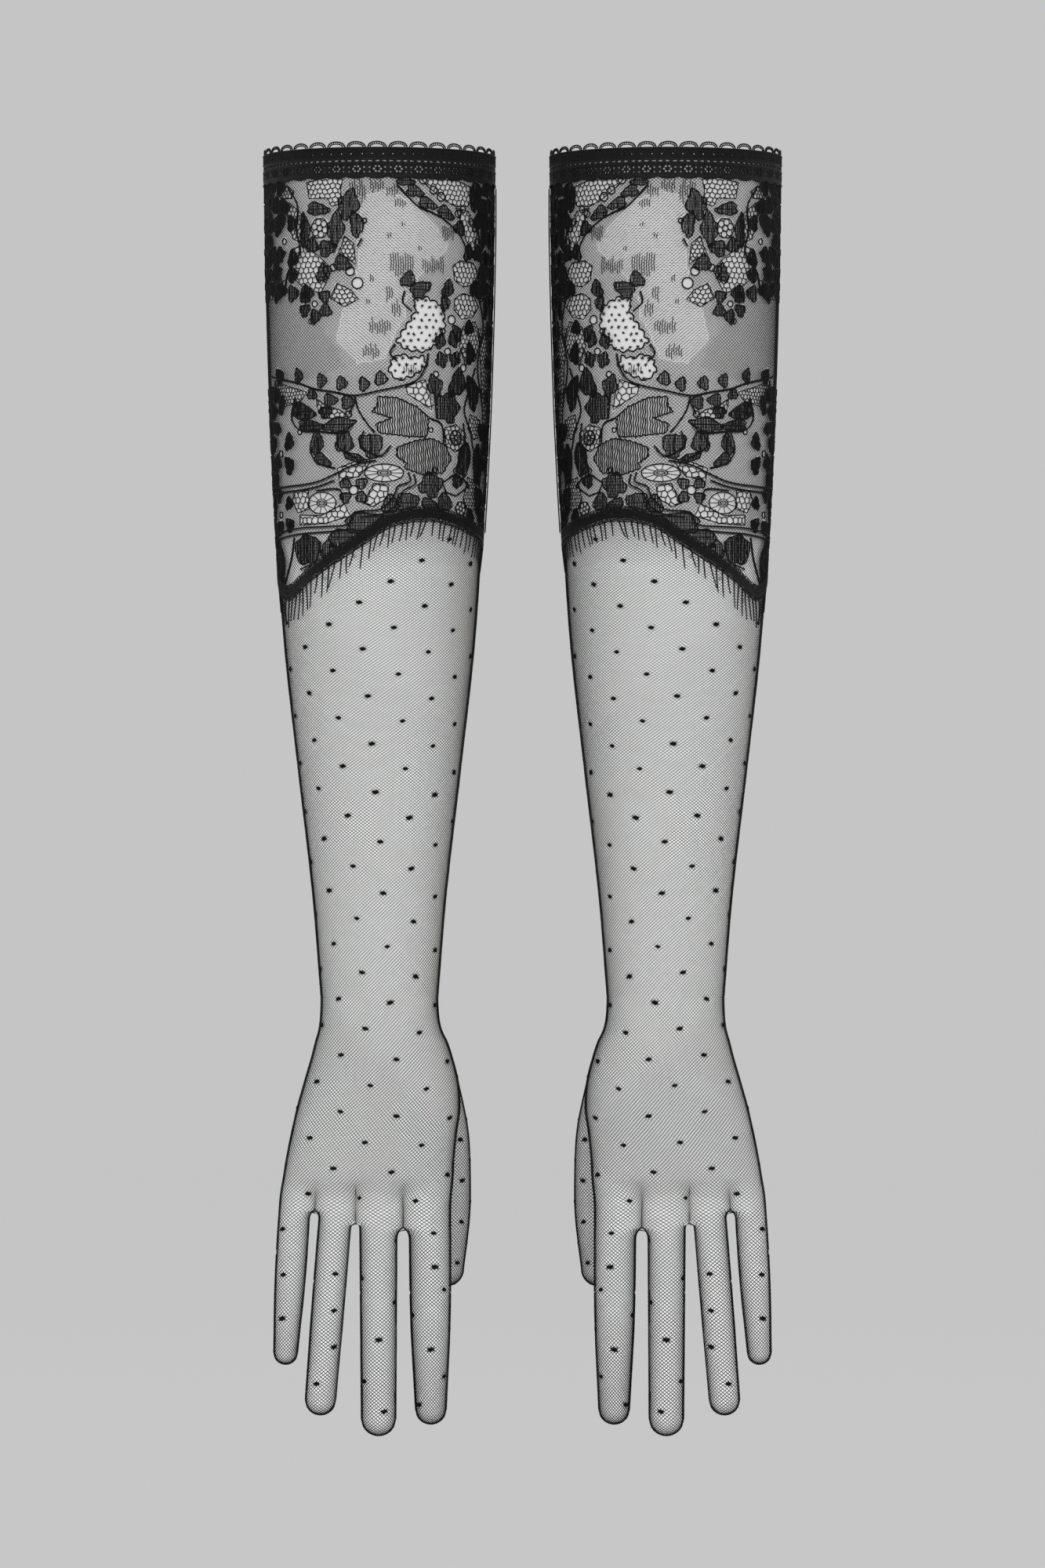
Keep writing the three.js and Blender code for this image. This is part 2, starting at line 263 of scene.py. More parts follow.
def skin(angle, drop, offset=0.0):
    centre, half, depth, power = section(drop)
    c, s = np.cos(angle), np.sin(angle)
    return np.stack([centre + (half + offset) * np.sign(c) * np.abs(c) ** (2 / power),
                     -(depth + offset) * np.sign(s) * np.abs(s) ** (2 / power),
                     -np.asarray(drop, float) * np.ones_like(c)], -1)


# Angle round the limb for a distance along the cloth from the middle of the back of the arm,
# positive towards the thumb, at each depth.
tableDrops = np.arange(-6, 470, 1.0)
tableAcross = np.arange(-90, 90.01, .5)
turns = np.linspace(math.pi, 0, 721)
ringPoints = skin(turns[None, :] * np.ones((len(tableDrops), 1)), tableDrops[:, None] * np.ones((1, 721)))
steps = np.linalg.norm(np.diff(ringPoints, axis=1), axis=2)
arcs = np.concatenate([np.zeros((len(tableDrops), 1)), np.cumsum(steps, 1)], 1)
halfTable = arcs[:, -1] / 2
arcs -= halfTable[:, None]
angleTable = np.stack([np.interp(tableAcross, row, turns) for row in arcs])


def halfCloth(drop):
    return np.interp(drop, tableDrops, halfTable)


def angleAt(across, drop):
    a = np.clip((across - tableAcross[0]) / .5, 0, len(tableAcross) - 1.001)
    d = np.clip(drop - tableDrops[0], 0, len(tableDrops) - 1.001)
    i, j = d.astype(int), a.astype(int)
    fi, fj = d - i, a - j
    return ((angleTable[i, j] * (1 - fj) + angleTable[i, j + 1] * fj) * (1 - fi)
            + (angleTable[i + 1, j] * (1 - fj) + angleTable[i + 1, j + 1] * fj) * fi)


def acrossAt(x, drop):
    # distance along the cloth for a distance x straight across the front
    centre, half, _, power = section(drop)
    c = np.clip((x - centre) / half, -1, 1)
    angle = np.arccos(np.sign(c) * np.abs(c) ** (power / 2))
    d = np.clip(np.rint(drop - tableDrops[0]).astype(int), 0, len(tableDrops) - 1)
    if np.ndim(x) == 0:
        return float(np.interp(-angle, -turns, arcs[int(d)]))
    return np.array([np.interp(-a, -turns, arcs[k]) for a, k in zip(angle, d)])


def scallopDrop(angle):
    turn = (np.degrees(angle) + 60) % 360 - 60
    return along(limb["scallop"], turn)


# ---- shape of the hand

def fingerPoint(k, share, drop, side, offset):
    # share runs from 0 on the little-finger side to 1 on the thumb side of one finger
    f = fingers[fingerNames[k]]
    root, tip = webDrop - hand["rootAbove"], webDrop + f["tip"]
    domeDrop = tip - f["widths"][2]
    radius = along([(root, f["widths"][0]), (webDrop + f["joint"], f["widths"][1]),
                    (domeDrop, f["widths"][2])], drop) + offset
    level = np.minimum(drop, domeDrop)
    centreX = f["across"] * limb["palmWidth"] + f["lean"] * (level - webDrop)
    centreY = hand["curl"] * (np.clip(level - root, 0, None) / (tip - root)) ** 2
    over = np.clip(drop - domeDrop, 0, None) / radius
    phi = (share - .5) * math.pi
    rho = np.sqrt(phi ** 2 + over ** 2)
    held = np.minimum(rho, math.pi / 2)
    pull = np.where(rho > 1e-6, np.sin(held) / np.maximum(rho, 1e-6), 1)
    spread = np.zeros_like(phi)
    for w, sign in ((k, 1), (k - 1, -1)):  # stretch to the web on each side
        if 0 <= w < 3:
            low, high = fingers[fingerNames[w]], fingers[fingerNames[w + 1]]
            gap = ((high["across"] - low["across"]) * limb["palmWidth"]
                   - low["widths"][0] - high["widths"][0]) / 2
            opened = np.clip((drop - hand["webs"][w][1]) / (gap * 1.7), 0, 1)
            ease = 1 - np.sqrt(1 - (opened - 1) ** 2)
            spread = spread + np.where(sign * phi > 0, (gap - min(offset, 0) * 1.0) * ease, 0)
    return np.stack([centreX + (radius * pull * phi) + spread * np.sin(np.clip(phi, -1.57, 1.57)),
                     centreY - side * radius * np.cos(held) * hand["depthShare"],
                     -level - radius * pull * over], -1)


webAcross = [acrossAt(x, webDrop) / float(halfCloth(webDrop)) for x, d in hand["webs"]]
shareEdges = np.array([-1.0, *webAcross, 1.0])


def fingerAt(share):
    return np.clip(np.searchsorted(shareEdges, share) - 1, 0, 3)


def clothPoint(share, drop, side, offset=0.0):
    # a point of the back (side 1) or palm (side -1) cloth; share is -1 and 1 at its two seams
    share, drop = np.broadcast_arrays(np.asarray(share, float), np.asarray(drop, float))
    flatDrop = np.minimum(drop, hand["skinTo"])
    angle = angleAt(share * halfCloth(flatDrop), flatDrop)
    made = skin(angle, flatDrop, offset)
    made[..., 1] *= side
    opened = smooth((drop - hand["openFrom"]) / (hand["openTo"] - hand["openFrom"]))
    k = fingerAt(share)
    for n in range(len(fingers)):
        mine = (k == n) & (drop > hand["openFrom"])
        if mine.any():
            t = (share[mine] - shareEdges[n]) / (shareEdges[n + 1] - shareEdges[n])
            target = fingerPoint(n, t, drop[mine], side, offset)
            w = opened[mine][:, None]
            made[mine] = made[mine] * (1 - w) + target * w
    return made


def thumbCentre(drop):
    drops = [wristDrop + d for d in thumb["drops"]]
    return [along(list(zip(drops, thumb[name])), drop) for name in ("across", "forward", "half")]


thumbTop, thumbTip = wristDrop + thumb["drops"][0], wristDrop + thumb["drops"][-1]


def thumbPoint(turn, drop, offset=0.0):
    # turn 0 faces +X and grows towards -Y; past the last station the tube closes in a dome
    turn, drop = np.broadcast_arrays(np.asarray(turn, float), np.asarray(drop, float))
    x, y, half = thumbCentre(drop)
    radius = half + offset
    over = np.clip(drop - thumbTip, 0, None) / radius
    held = np.minimum(over, math.pi / 2)
    return np.stack([x + radius * np.cos(held) * np.cos(turn), y - radius * np.cos(held) * np.sin(turn),
                     -np.minimum(drop, thumbTip) - radius * np.sin(held)], -1)


def insideThumb(points, slack=0.0):
    drop = np.clip(-points[..., 2], thumbTop, thumbTip)
    x, y, half = thumbCentre(drop)
    out = np.hypot(points[..., 0] - x, points[..., 1] - y)
    return (out < half + slack) & (-points[..., 2] > thumbTop) & (-points[..., 2] < thumbTip)


def insidePalm(points, slack=0.0):
    drop = -points[..., 2]
    centre, half, depth, power = section(drop)
    reach = (np.abs((points[..., 0] - centre) / (half + slack)) ** power
             + np.abs(points[..., 1] / (depth + slack)) ** power)
    return (reach < 1) & (drop < webDrop - 4)


# ---- from threads to tubes

def geometryTree(name, inputs):
    tree = bpy.data.node_groups.new(name, "GeometryNodeTree")
    tree.interface.new_socket("Geometry", in_out="OUTPUT", socket_type="NodeSocketGeometry")
    tree.interface.new_socket("Geometry", in_out="INPUT", socket_type="NodeSocketGeometry")
    for label, kind, value in inputs:
        made = tree.interface.new_socket(label, in_out="INPUT", socket_type="NodeSocket" + kind)
        if value is not None:
            made.default_value = value
    tree.is_modifier = True
    return tree, tree.nodes.new("NodeGroupInput")


def closeTree(tree, start, geometry):
    real = gNode(tree, "GeometryNodeRealizeInstances", i0=geometry)
    painted = gNode(tree, "GeometryNodeSetMaterial", Geometry=real.outputs[0],
                    Material=start.outputs["Finish"])
    gNode(tree, "NodeGroupOutput", i0=painted.outputs[0])
    return tree


def gNode(tree, kind, settings=None, **values):
    made = tree.nodes.new(kind)
    for name, value in (settings or {}).items():
        setattr(made, name, value)
    for name, value in values.items():
        socket = made.inputs[int(name[1:]) if name[0] == "i" else name]
        if isinstance(value, bpy.types.NodeSocket):
            tree.links.new(value, socket)
        else:
            socket.default_value = value
    return made


def threadTree():
    # every chain of edges becomes a three-sided tube, as thick as its "thick" attribute says
    tree, start = geometryTree("threads", [("Finish", "Material", None)])
    chain = gNode(tree, "GeometryNodeMeshToCurve", Mesh=start.outputs["Geometry"])
    thick = gNode(tree, "GeometryNodeInputNamedAttribute", {"data_type": "FLOAT"}, Name="thick")
    radius = gNode(tree, "GeometryNodeSetCurveRadius", Curve=chain.outputs[0],
                   Radius=thick.outputs["Attribute"])
    ring = gNode(tree, "GeometryNodeCurvePrimitiveCircle", Resolution=3, Radius=1.0)
    tube = gNode(tree, "GeometryNodeCurveToMesh", Curve=radius.outputs[0])
    tree.links.new(ring.outputs[0], tube.inputs["Profile Curve"])
    if "Scale" in tube.inputs:
        tree.links.new(thick.outputs["Attribute"], tube.inputs["Scale"])
    rounded = gNode(tree, "GeometryNodeSetShadeSmooth", i0=tube.outputs[0])
    return closeTree(tree, start, rounded.outputs[0])


def dotTree():
    # one tuft on each point, turned to the cloth
    tree, start = geometryTree("dots", [("Tuft", "Object", None), ("Finish", "Material", None)])
    points = gNode(tree, "GeometryNodeMeshToPoints", Mesh=start.outputs["Geometry"])
    normal = gNode(tree, "GeometryNodeInputNamedAttribute", {"data_type": "FLOAT_VECTOR"}, Name="outward")
    level = gNode(tree, "GeometryNodeInputNamedAttribute", {"data_type": "FLOAT_VECTOR"}, Name="level")
    turned = gNode(tree, "FunctionNodeAlignRotationToVector", {"axis": "Z"}, Vector=normal.outputs[0])
    again = gNode(tree, "FunctionNodeAlignRotationToVector", {"axis": "X", "pivot_axis": "Z"},
                  Rotation=turned.outputs[0], Vector=level.outputs[0])
    spin = gNode(tree, "FunctionNodeRandomValue", {"data_type": "FLOAT"}, i2=-.25, i3=.25, Seed=3)
    spun = gNode(tree, "FunctionNodeAxisAngleToRotation", Axis=(0, 0, 1), Angle=spin.outputs[1])
    both = gNode(tree, "FunctionNodeRotateRotation", {"rotation_space": "LOCAL"}, i0=again.outputs[0],
                 i1=spun.outputs[0])
    size = gNode(tree, "FunctionNodeRandomValue", {"data_type": "FLOAT"}, i2=.85, i3=1.15, Seed=5)
    tuft = gNode(tree, "GeometryNodeObjectInfo", Object=start.outputs["Tuft"])
    placed = gNode(tree, "GeometryNodeInstanceOnPoints", Points=points.outputs[0],
                   Instance=tuft.outputs["Geometry"], Rotation=both.outputs[0], Scale=size.outputs[1])
    return closeTree(tree, start, placed.outputs[0])


threads, dots = threadTree(), dotTree()


def plainMesh(guide, tree, **inputs):
    # runs one tree over a guide mesh and returns the plain result
    holder = bpy.data.objects.new("guide", guide)
    scene.collection.objects.link(holder)
    modifier = holder.modifiers.new("make", "NODES")
    modifier.node_group = tree
    for item in tree.interface.items_tree:
        if item.in_out == "INPUT" and item.name in inputs:
            modifier[item.identifier] = inputs[item.name]
    made = bpy.data.meshes.new_from_object(holder.evaluated_get(bpy.context.evaluated_depsgraph_get()))
    bpy.data.objects.remove(holder)
    bpy.data.meshes.remove(guide)
    return made


def guideMesh(points, chains, thick):
    # points in millimetres; consecutive points with the same chain number are joined
    chains = np.asarray(chains)
    joined = np.flatnonzero(chains[1:] == chains[:-1])
    guide = bpy.data.meshes.new("guide")
    guide.vertices.add(len(points))
    guide.vertices.foreach_set("co", (np.asarray(points, float) * mm).astype(np.float32).ravel())
    guide.edges.add(len(joined))
    guide.edges.foreach_set("vertices", np.stack([joined, joined + 1], 1).astype(np.int32).ravel())
    guide.attributes.new("thick", "FLOAT", "POINT").data.foreach_set(
        "value", (np.ones(len(points)) * thick * mm).astype(np.float32))
    return guide


def tubes(points, chains, thick, finish):
    return plainMesh(guideMesh(points, chains, thick), threads, Finish=finishes[finish])


sides = (("right", -1), ("left", 1))
glovePieces = {"right": {}, "left": {}}


def bothGloves(name, mesh, finish, place):
    # places the right glove's piece and its mirror image; place(piece, side) then rides it on a body or
    # bakes its placement
    mesh.materials.clear()
    mesh.materials.append(finish)
    for side, sign in sides:
        own = mesh.copy()
        if side == "left":
            own.transform(Matrix.Scale(-1, 4, (1, 0, 0)))
            own.flip_normals()
        own.transform(Matrix.Translation((sign * limb["axis"] * mm, 0, 0)))
        own.name = f"{side}_{name}"
        piece = bpy.data.objects.new(f"{side}_{name}", own)
        scene.collection.objects.link(piece)
        glovePieces[side][name] = piece
        place(piece, side)
    print(name, "made,", len(mesh.polygons), "faces")


def threadPiece(name, finish, place, points, chains, thick):
    bothGloves(name, tubes(points, chains, thick, finish), finishes[finish], place)


def across(a, b, top, bottom):
    # bakes the piece's placement into its mesh, without a bend between the two bodies
    def place(piece, side):
        own = [x if x == "sleeves" else f"{side}_{x}" for x in (a, b)]
        -top * mm
        -bottom * mm
        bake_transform(piece)
    return place


bends = {
    "forearm": across("sleeves", "wrist", 346, 361),
    "hand": across("wrist", "hand", 367, 386),
    "thumb": across("hand", "thumb", 417, 434),
    **{name: across("hand", name, webDrop + f["joint"] - 7, webDrop + f["joint"] + 9)
       for name, f in fingers.items()},
}
cutDrops = {name: webDrop + f["joint"] - 8 for name, f in fingers.items()}


def onSleeves(piece, side):
    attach(piece, "sleeves")


# ---- pale form inside, a stand that is not part of the gloves

form = {
    "inset": -.75, "columns": 25, "rowStep": 2.0, "armRound": 97, "armTop": 4, "armStep": 4.0,
    "tipRows": 40, "thumbRound": 49, "thumbRows": 50,
}


def gridMesh(name, rows, breaks=None):
    # rows x columns of points joined by quads, without the quads that breaks marks
    count = rows.shape[1]
    index = np.arange(rows.shape[0] * count).reshape(rows.shape[:2])
    quads = np.stack([index[:-1, :-1], index[1:, :-1], index[1:, 1:], index[:-1, 1:]], -1)
    if breaks is not None:
        quads = quads[~breaks[:-1, :-1]]
    quads = quads.reshape(-1, 4)
    mesh = bpy.data.meshes.new(name)
    mesh.from_pydata((rows.reshape(-1, 3) * mm).tolist(), [], quads.tolist())
    return mesh


def formColumns():
    spans = [np.linspace(a, b, form["columns"]) for a, b in zip(shareEdges[:-1], shareEdges[1:])]
    eps = 1e-6
    return np.concatenate([np.clip(s, a + eps, b - eps)
                           for s, a, b in zip(spans, shareEdges[:-1], shareEdges[1:])])


def buildForm():
    # the form's upper part, under the lace cuff, is painted a darker grey as painted shade; its glow is
    # painted light
    pale = paleFinish("formPaintedShadeAndGlow", (.61, .61, .61), (1.0, 1.0, 1.0), (-.155, -.180), .12)
    made = {}
    turn = np.linspace(0, 2 * math.pi, form["armRound"])
    drops = np.arange(form["armTop"], wristDrop + .1, form["armStep"])
    rows = skin(*np.meshgrid(turn, drops), form["inset"])
    made["forearm"] = [gridMesh("form", np.concatenate([rows[:1] * [0.0, 0.0, 1.0], rows]))]
    columns = formColumns()
    k = fingerAt(columns)
    for side in (1, -1):
        drops = np.arange(wristDrop, max(cutDrops.values()) + .1, form["rowStep"])
        grid = clothPoint(columns[None, :], drops[:, None], side, form["inset"])
        cut = np.array([cutDrops[fingerNames[n]] for n in k])
        breaks = drops[:, None] + form["rowStep"] > cut[None, :] + .1
        for n in range(3):
            last = np.flatnonzero(k == n)[-1]
            breaks[:, last] = True
        made.setdefault("hand", []).append(gridMesh("form", grid, breaks))
        for n, name in enumerate(fingerNames):
            f = fingers[name]
            start = drops[np.flatnonzero(drops <= cutDrops[name] + .1)[-1]]
            end = webDrop + f["tip"] + f["widths"][2] * (math.pi / 2 - 1)
            own = np.linspace(start, end, form["tipRows"])
            made.setdefault(name, []).append(
                gridMesh("form", clothPoint(columns[k == n][None, :], own[:, None], side, form["inset"])))
    drops = np.linspace(thumbTop, thumbTip + thumb["half"][-1] * math.pi / 2 - .05, form["thumbRows"])
    turn = np.linspace(0, 2 * math.pi, form["thumbRound"])
    made["thumb"] = [gridMesh("form", thumbPoint(turn[None, :], drops[:, None], form["inset"]))]
    for zone, meshes in made.items():
        for part, mesh in enumerate(meshes):
            mesh.polygons.foreach_set("use_smooth", [True] * len(mesh.polygons))
            bothGloves(f"form_{zone}_{part}", mesh, pale, bends[zone])


buildForm()

# ---- dotted net

net = {
    "top": 150.0, "bottom": 561, "columns": 150, "tight": (436, 470),
    "keptRows": (3, 2), "finerAbove": 30,  # every third row is kept, every second from above the wrist
    "underLace": 5, "overTip": .13, "dotShare": .97, "dotRoom": .08, "dotPastDome": 2, "palmShift": 6,
    "thick": [(150, .124), (364, .130), (400, .152), (562, .152)], "offset": -.12,
    "reach": 4.2, "pull": .52, "pullReach": 1.8,
    "acrossStep": [(150, .93), (250, .88), (330, .78), (364, .74), (400, .76), (459, .80), (562, .80)],
    "downStep": [(150, .60), (250, .64), (330, .72), (364, .76), (562, .76)],
    "dotSteps": ((-15, 15), (17, 17)), "dotStart": {1: (21, 43), -1: (13, 35)},
}


fingerDots = {  # share of the width and drop
    "little": [(.24, 465), (.32, 485), (.38, 504)],
    "ring": [(.86, 463), (.56, 484), (.64, 500), (.63, 516), (.39, 532)],
    "middle": [(.84, 470), (.14, 486.5), (.84, 497), (.5, 513), (.16, 531), (.62, 544)],
    "index": [(.52, 466), (.56, 480.5), (.76, 491), (.12, 502.5), (.5, 516.5), (.78, 529), (.2, 541)],
}


def dotCells(side, drops, columns):
    # cells of the net that carry a dot: slanting rows down to the webs, then single ones on the fingers
    (a, b), (c, d) = net["dotSteps"]
    start, found = net["dotStart"][side], []
    for m in range(-60, 60):
        for n in range(-60, 60):
            i, j = start[0] + m * a + n * c, start[1] + m * b + n * d
            if abs(i) <= columns and 0 <= j < len(drops) and drops[j] < webDrop - 4:
                found.append((i, j))
    for k, name in enumerate(fingerNames):
        for share, drop in fingerDots[name]:
            share = share if side == 1 else 1 - share
            share = shareEdges[k] + share * (shareEdges[k + 1] - shareEdges[k])
            j = int(np.argmin(np.abs(drops - drop - (0 if side == 1 else net["palmShift"]))))
            i = int(round(share * float(halfCloth(webDrop)) / float(along(net["acrossStep"], drops[j]))))
            found.append((i + (i + j) % 2, j))
    return found


def pulled(flat, centres):
    # draws the cells near each dot in towards it
    moved, near = flat.copy(), np.zeros(flat.shape[:-1], bool)
    for c in centres:
        d = flat - c
        r = np.hypot(d[..., 0], d[..., 1])
        close = r < net["reach"]
        near |= close
        shift = net["pull"] * np.exp(-(r[close] / net["pullReach"]) ** 2)
        moved[close] -= d[close] * shift[:, None]
    return moved, near


def diagonals(points, i, j, inside, keep, apart=None):
    # threads along both families of a net's diagonals, broken where the net is cut, as points with
    # a chain number each
    i, j, inside, keep = (x.ravel() for x in (i, j, inside, keep))
    apart = np.zeros(i.size) if apart is None else apart.ravel()
    points = points.reshape(i.size, -1)
    parts, chains, count = [], [], 0
    for direction in (1, -1):
        line = i - direction * j
        order = np.lexsort((j, line))
        order = order[((i + j) % 2 == 0)[order]]
        a, b = order[1:], order[:-1]
        cut = np.ones(len(order), bool)
        cut[1:] = ((line[a] != line[b]) | ~inside[a] | ~inside[b]
                   | ((apart[a] != apart[b]) & (apart[a] > 0) & (apart[b] > 0)))
        chain = np.cumsum(cut)
        order, chain = order[inside[order]], chain[inside[order]]
        ends = np.ones(len(order), bool)
        ends[1:-1] = (chain[1:-1] != chain[:-2]) | (chain[1:-1] != chain[2:])
        held = keep[order] | ends
        order, chain = order[held], chain[held]
        joined = np.bincount(chain)[chain] > 1
        parts.append(points[order[joined]])
        chains.append(chain[joined] + count)
        count += int(chain[joined].max(initial=0)) + 1
    return np.concatenate(parts), np.concatenate(chains)


def cellAreas(points):
    corner = points[:-1, :-1]
    return np.linalg.norm(np.cross(points[1:, :-1] - corner, points[:-1, 1:] - corner), axis=2)


def netPanel(side):
    drops = [net["top"]]
    while drops[-1] < net["bottom"]:
        drops.append(drops[-1] + float(along(net["downStep"], drops[-1])))
    drops = np.array(drops)
    columns = net["columns"]
    i, j = np.meshgrid(np.arange(-columns, columns + 1), np.arange(len(drops)))
    down = drops[j]
    flat = np.stack([i * along(net["acrossStep"], down), down], -1)
    dotted = dotCells(side, drops, columns)
    centres = [flat[b, a + columns] for a, b in dotted]
    x, y = flat[..., 0], flat[..., 1]
    moved, near = pulled(flat, np.array(centres))
    uneven = [.22 * np.sin(y / 9 + x / 23) + .12 * np.sin(y / 3.7), .18 * np.sin(x / 8 + y / 31)]
    moved = moved + np.stack(uneven, -1)
    down = moved[..., 1]
    half = halfCloth(np.minimum(down, webDrop))
    share = moved[..., 0] / half
    step = along(net["acrossStep"], down) / half
    inside = np.abs(share) < 1 + step
    share = np.clip(share, -1, 1)
    k = fingerAt(share)
    tipHalf = np.array([f["widths"][2] for f in fingers.values()])[k]
    dome = np.array([webDrop + f["tip"] - f["widths"][2] for f in fingers.values()])[k]
    t = (share - shareEdges[k]) / (shareEdges[k + 1] - shareEdges[k])
    rho = np.hypot((t - .5) * math.pi, np.clip(down - dome, 0, None) / tipHalf)
    inside &= (down < dome) | (rho < math.pi / 2 + net["overTip"])
    points = clothPoint(share, down, side, net["offset"])
    angle = angleAt(share * halfCloth(down), np.minimum(down, 250)) * (1 if side == 1 else -1)
    inside &= down > scallopDrop(angle) - net["underLace"]
    if side == -1:
        inside &= ~insideThumb(points, .1)
    webs = np.array([w[1] for w in hand["webs"]])
    apart = np.where(down > np.minimum(webs[np.clip(k, 0, 2)], webs[np.clip(k - 1, 0, 2)]) + 1, k + 1, 0)
    wristRow = int(np.argmin(np.abs(drops - wristDrop)))
    cutRows = np.array([int(np.argmin(np.abs(drops - cutDrops[n]))) for n in fingerNames])[k]
    zones = {"forearm": j <= wristRow, "hand": (j >= wristRow) & (j <= cutRows)}
    for n, name in enumerate(fingerNames):
        zones[name] = (k == n) & (j >= cutRows)
    tufts = {name: [] for name in zones}
    for a, b in dotted:
        c = a + columns
        highest, lowest = scallopDrop(angle[b, c]) + net["underLace"], dome[b, c] + net["dotPastDome"]
        clear = down[b, c] <= webDrop or net["dotRoom"] < t[b, c] < 1 - net["dotRoom"]
        clear = clear and inside[b, c] and abs(share[b, c]) < net["dotShare"]
        if not (clear and highest < down[b, c] <= lowest):
            continue
        name = [z for z in zones if zones[z][b, c]][-1]
        spot = clothPoint(share[b, c] + np.array([0, .01, 0]), down[b, c] + np.array([0, 0, .5]), side,
                          net["offset"] + .15)
        level = spot[1] - spot[0]
        normal = np.cross(spot[2] - spot[0], level) * side
        tufts[name].append((spot[0], normal / np.linalg.norm(normal), level / np.linalg.norm(level)))
    made, cloth = {}, {}
    cells = cellAreas(points)
    keep = j % np.where(j < wristRow - net["finerAbove"], *net["keptRows"]) == 0
    keep |= near | (zones["hand"] & (down > net["tight"][0]) & (down < net["tight"][1]))
    for name, zone in zones.items():
        shown = (inside & zone)[:-1, :-1]
        cloth[name] = (float(cells[shown].sum()), float(np.ptp(flat[:-1, :-1, 1][shown])))
        made[name] = diagonals(points, i, j, inside & zone, keep, apart)
    return made, tufts, cloth


def thumbNet():
    # round the thumb once, from the seam that faces the palm
    step, down = thumb["netStep"]
    count = 2 * int(round(math.pi * thumb["girthHalf"] / step))
    drops = np.arange(thumbTop + .5, thumbTip + thumb["half"][-1] * 1.5, down)
    i, j = np.meshgrid(np.arange(0, count + 1), np.arange(len(drops)))
    (a, b), (c, d) = thumb["dotFrom"], thumb["dotSteps"]
    starts = [(a + c * m, b + d * n + (m % 2) * thumb["dotShift"]) for m in range(5) for n in range(7)]
    starts = [(a, b) for a, b in starts if a <= count and b < len(drops) - thumb["bareRows"]]
    flat = np.stack([i * step, drops[j]], -1)
    moved, near = pulled(flat, np.array([flat[b, a] for a, b in starts]))
    turn = moved[..., 0] / (count * step) * 2 * math.pi + math.pi
    points = thumbPoint(turn, moved[..., 1], net["offset"])
    inside = ~insidePalm(points, -.1)
    tufts = []
    for a, b in starts:
        p = points[b, a]
        if insidePalm(p, 2.0):
            continue
        x, y, _ = thumbCentre(-p[2])
        normal = np.array([p[0] - x, p[1] - y, 0])
        normal /= np.linalg.norm(normal)
        tufts.append((p + normal * .15, normal, np.cross((0, 0, 1), normal)))
    area = float(cellAreas(points)[inside[:-1, :-1]].sum())
    return diagonals(points, i, j, inside, (j % 2 == 0) | near), tufts, area


def declareSheet(name, area, length, goingWith):
    # area in square millimetres and length in millimetres of the flat cloth
    for side, own in glovePieces.items():
        area / length * mm
        length * mm
        [own[other] for other in goingWith if other in own]
        print(side, name, "flat size", round(area / length), "x", round(length), "mm")


def tuftObject():
    # a knot of short crossing strands, wider than tall
    size = {"long": 1.65, "tall": 1.05, "thick": .23, "strands": 7, "height": .34}
    points, chains = [], []
    for n in range(size["strands"]):
        turn = math.pi * n / size["strands"] + .12 * (n % 3)
        c, s = math.cos(turn), math.sin(turn)
        reach = (.75, 1.0, .85, .95)[n % 4]
        for at, bulge in ((-1, -.1), (-.45, .75), (.1, 1), (.6, .6), (1, -.1)):
            points.append((size["long"] * reach * at * c, size["tall"] * reach * at * s,
                           size["height"] * bulge))
            chains.append(n)
    for n in range(3):  # turns of thread over the middle
        for a in np.linspace(0, 2 * math.pi, 7):
            points.append(((.65 - .12 * n) * math.cos(a), (.42 - .08 * n) * math.sin(a), .16 + .1 * n))
            chains.append(20 + n)
    tuft = bpy.data.objects.new("tuft", tubes(np.array(points), chains, size["thick"], "dotThread"))
    scene.collection.objects.link(tuft)
    return tuft


def dotMesh(tufts, tuft):
    guide = bpy.data.meshes.new("dots")
    guide.from_pydata([tuple(t[0] * mm) for t in tufts], [], [])
    for label, at in (("outward", 1), ("level", 2)):
        guide.attributes.new(label, "FLOAT_VECTOR", "POINT").data.foreach_set(
            "vector", np.array([t[at] for t in tufts], np.float32).ravel())
    return plainMesh(guide, dots, Tuft=tuft, Finish=finishes["dotThread"])


tuft = tuftObject()
panels = {"back": netPanel(1), "palm": netPanel(-1)}
thumbThreads, thumbTufts, thumbArea = thumbNet()
for panelName, (zones, tufts, cloth) in panels.items():
    for zone, (points, chains) in zones.items():
        threadPiece(f"{zone}_net_{panelName}", "netThread", bends[zone], points, chains,
                    along(net["thick"], -points[:, 2]))
        if tufts[zone]:
            bothGloves(f"{zone}_dots_{panelName}", dotMesh(tufts[zone], tuft), finishes["dotThread"],
                       bends[zone])
        declareSheet(f"{zone}_net_{panelName}", *cloth[zone], [f"{zone}_dots_{panelName}"])
threadPiece("thumb_net", "netThread", bends["thumb"], *thumbThreads,
            along(net["thick"], thumb["threadAt"]))
bothGloves("thumb_dots", dotMesh(thumbTufts, tuft), finishes["dotThread"], bends["thumb"])
declareSheet("thumb_net", thumbArea, thumbTip - thumbTop, ["thumb_dots"])
bpy.data.objects.remove(tuft)
print("net made")

# ---- strands drawn flat on the cuff and wrapped round the arm


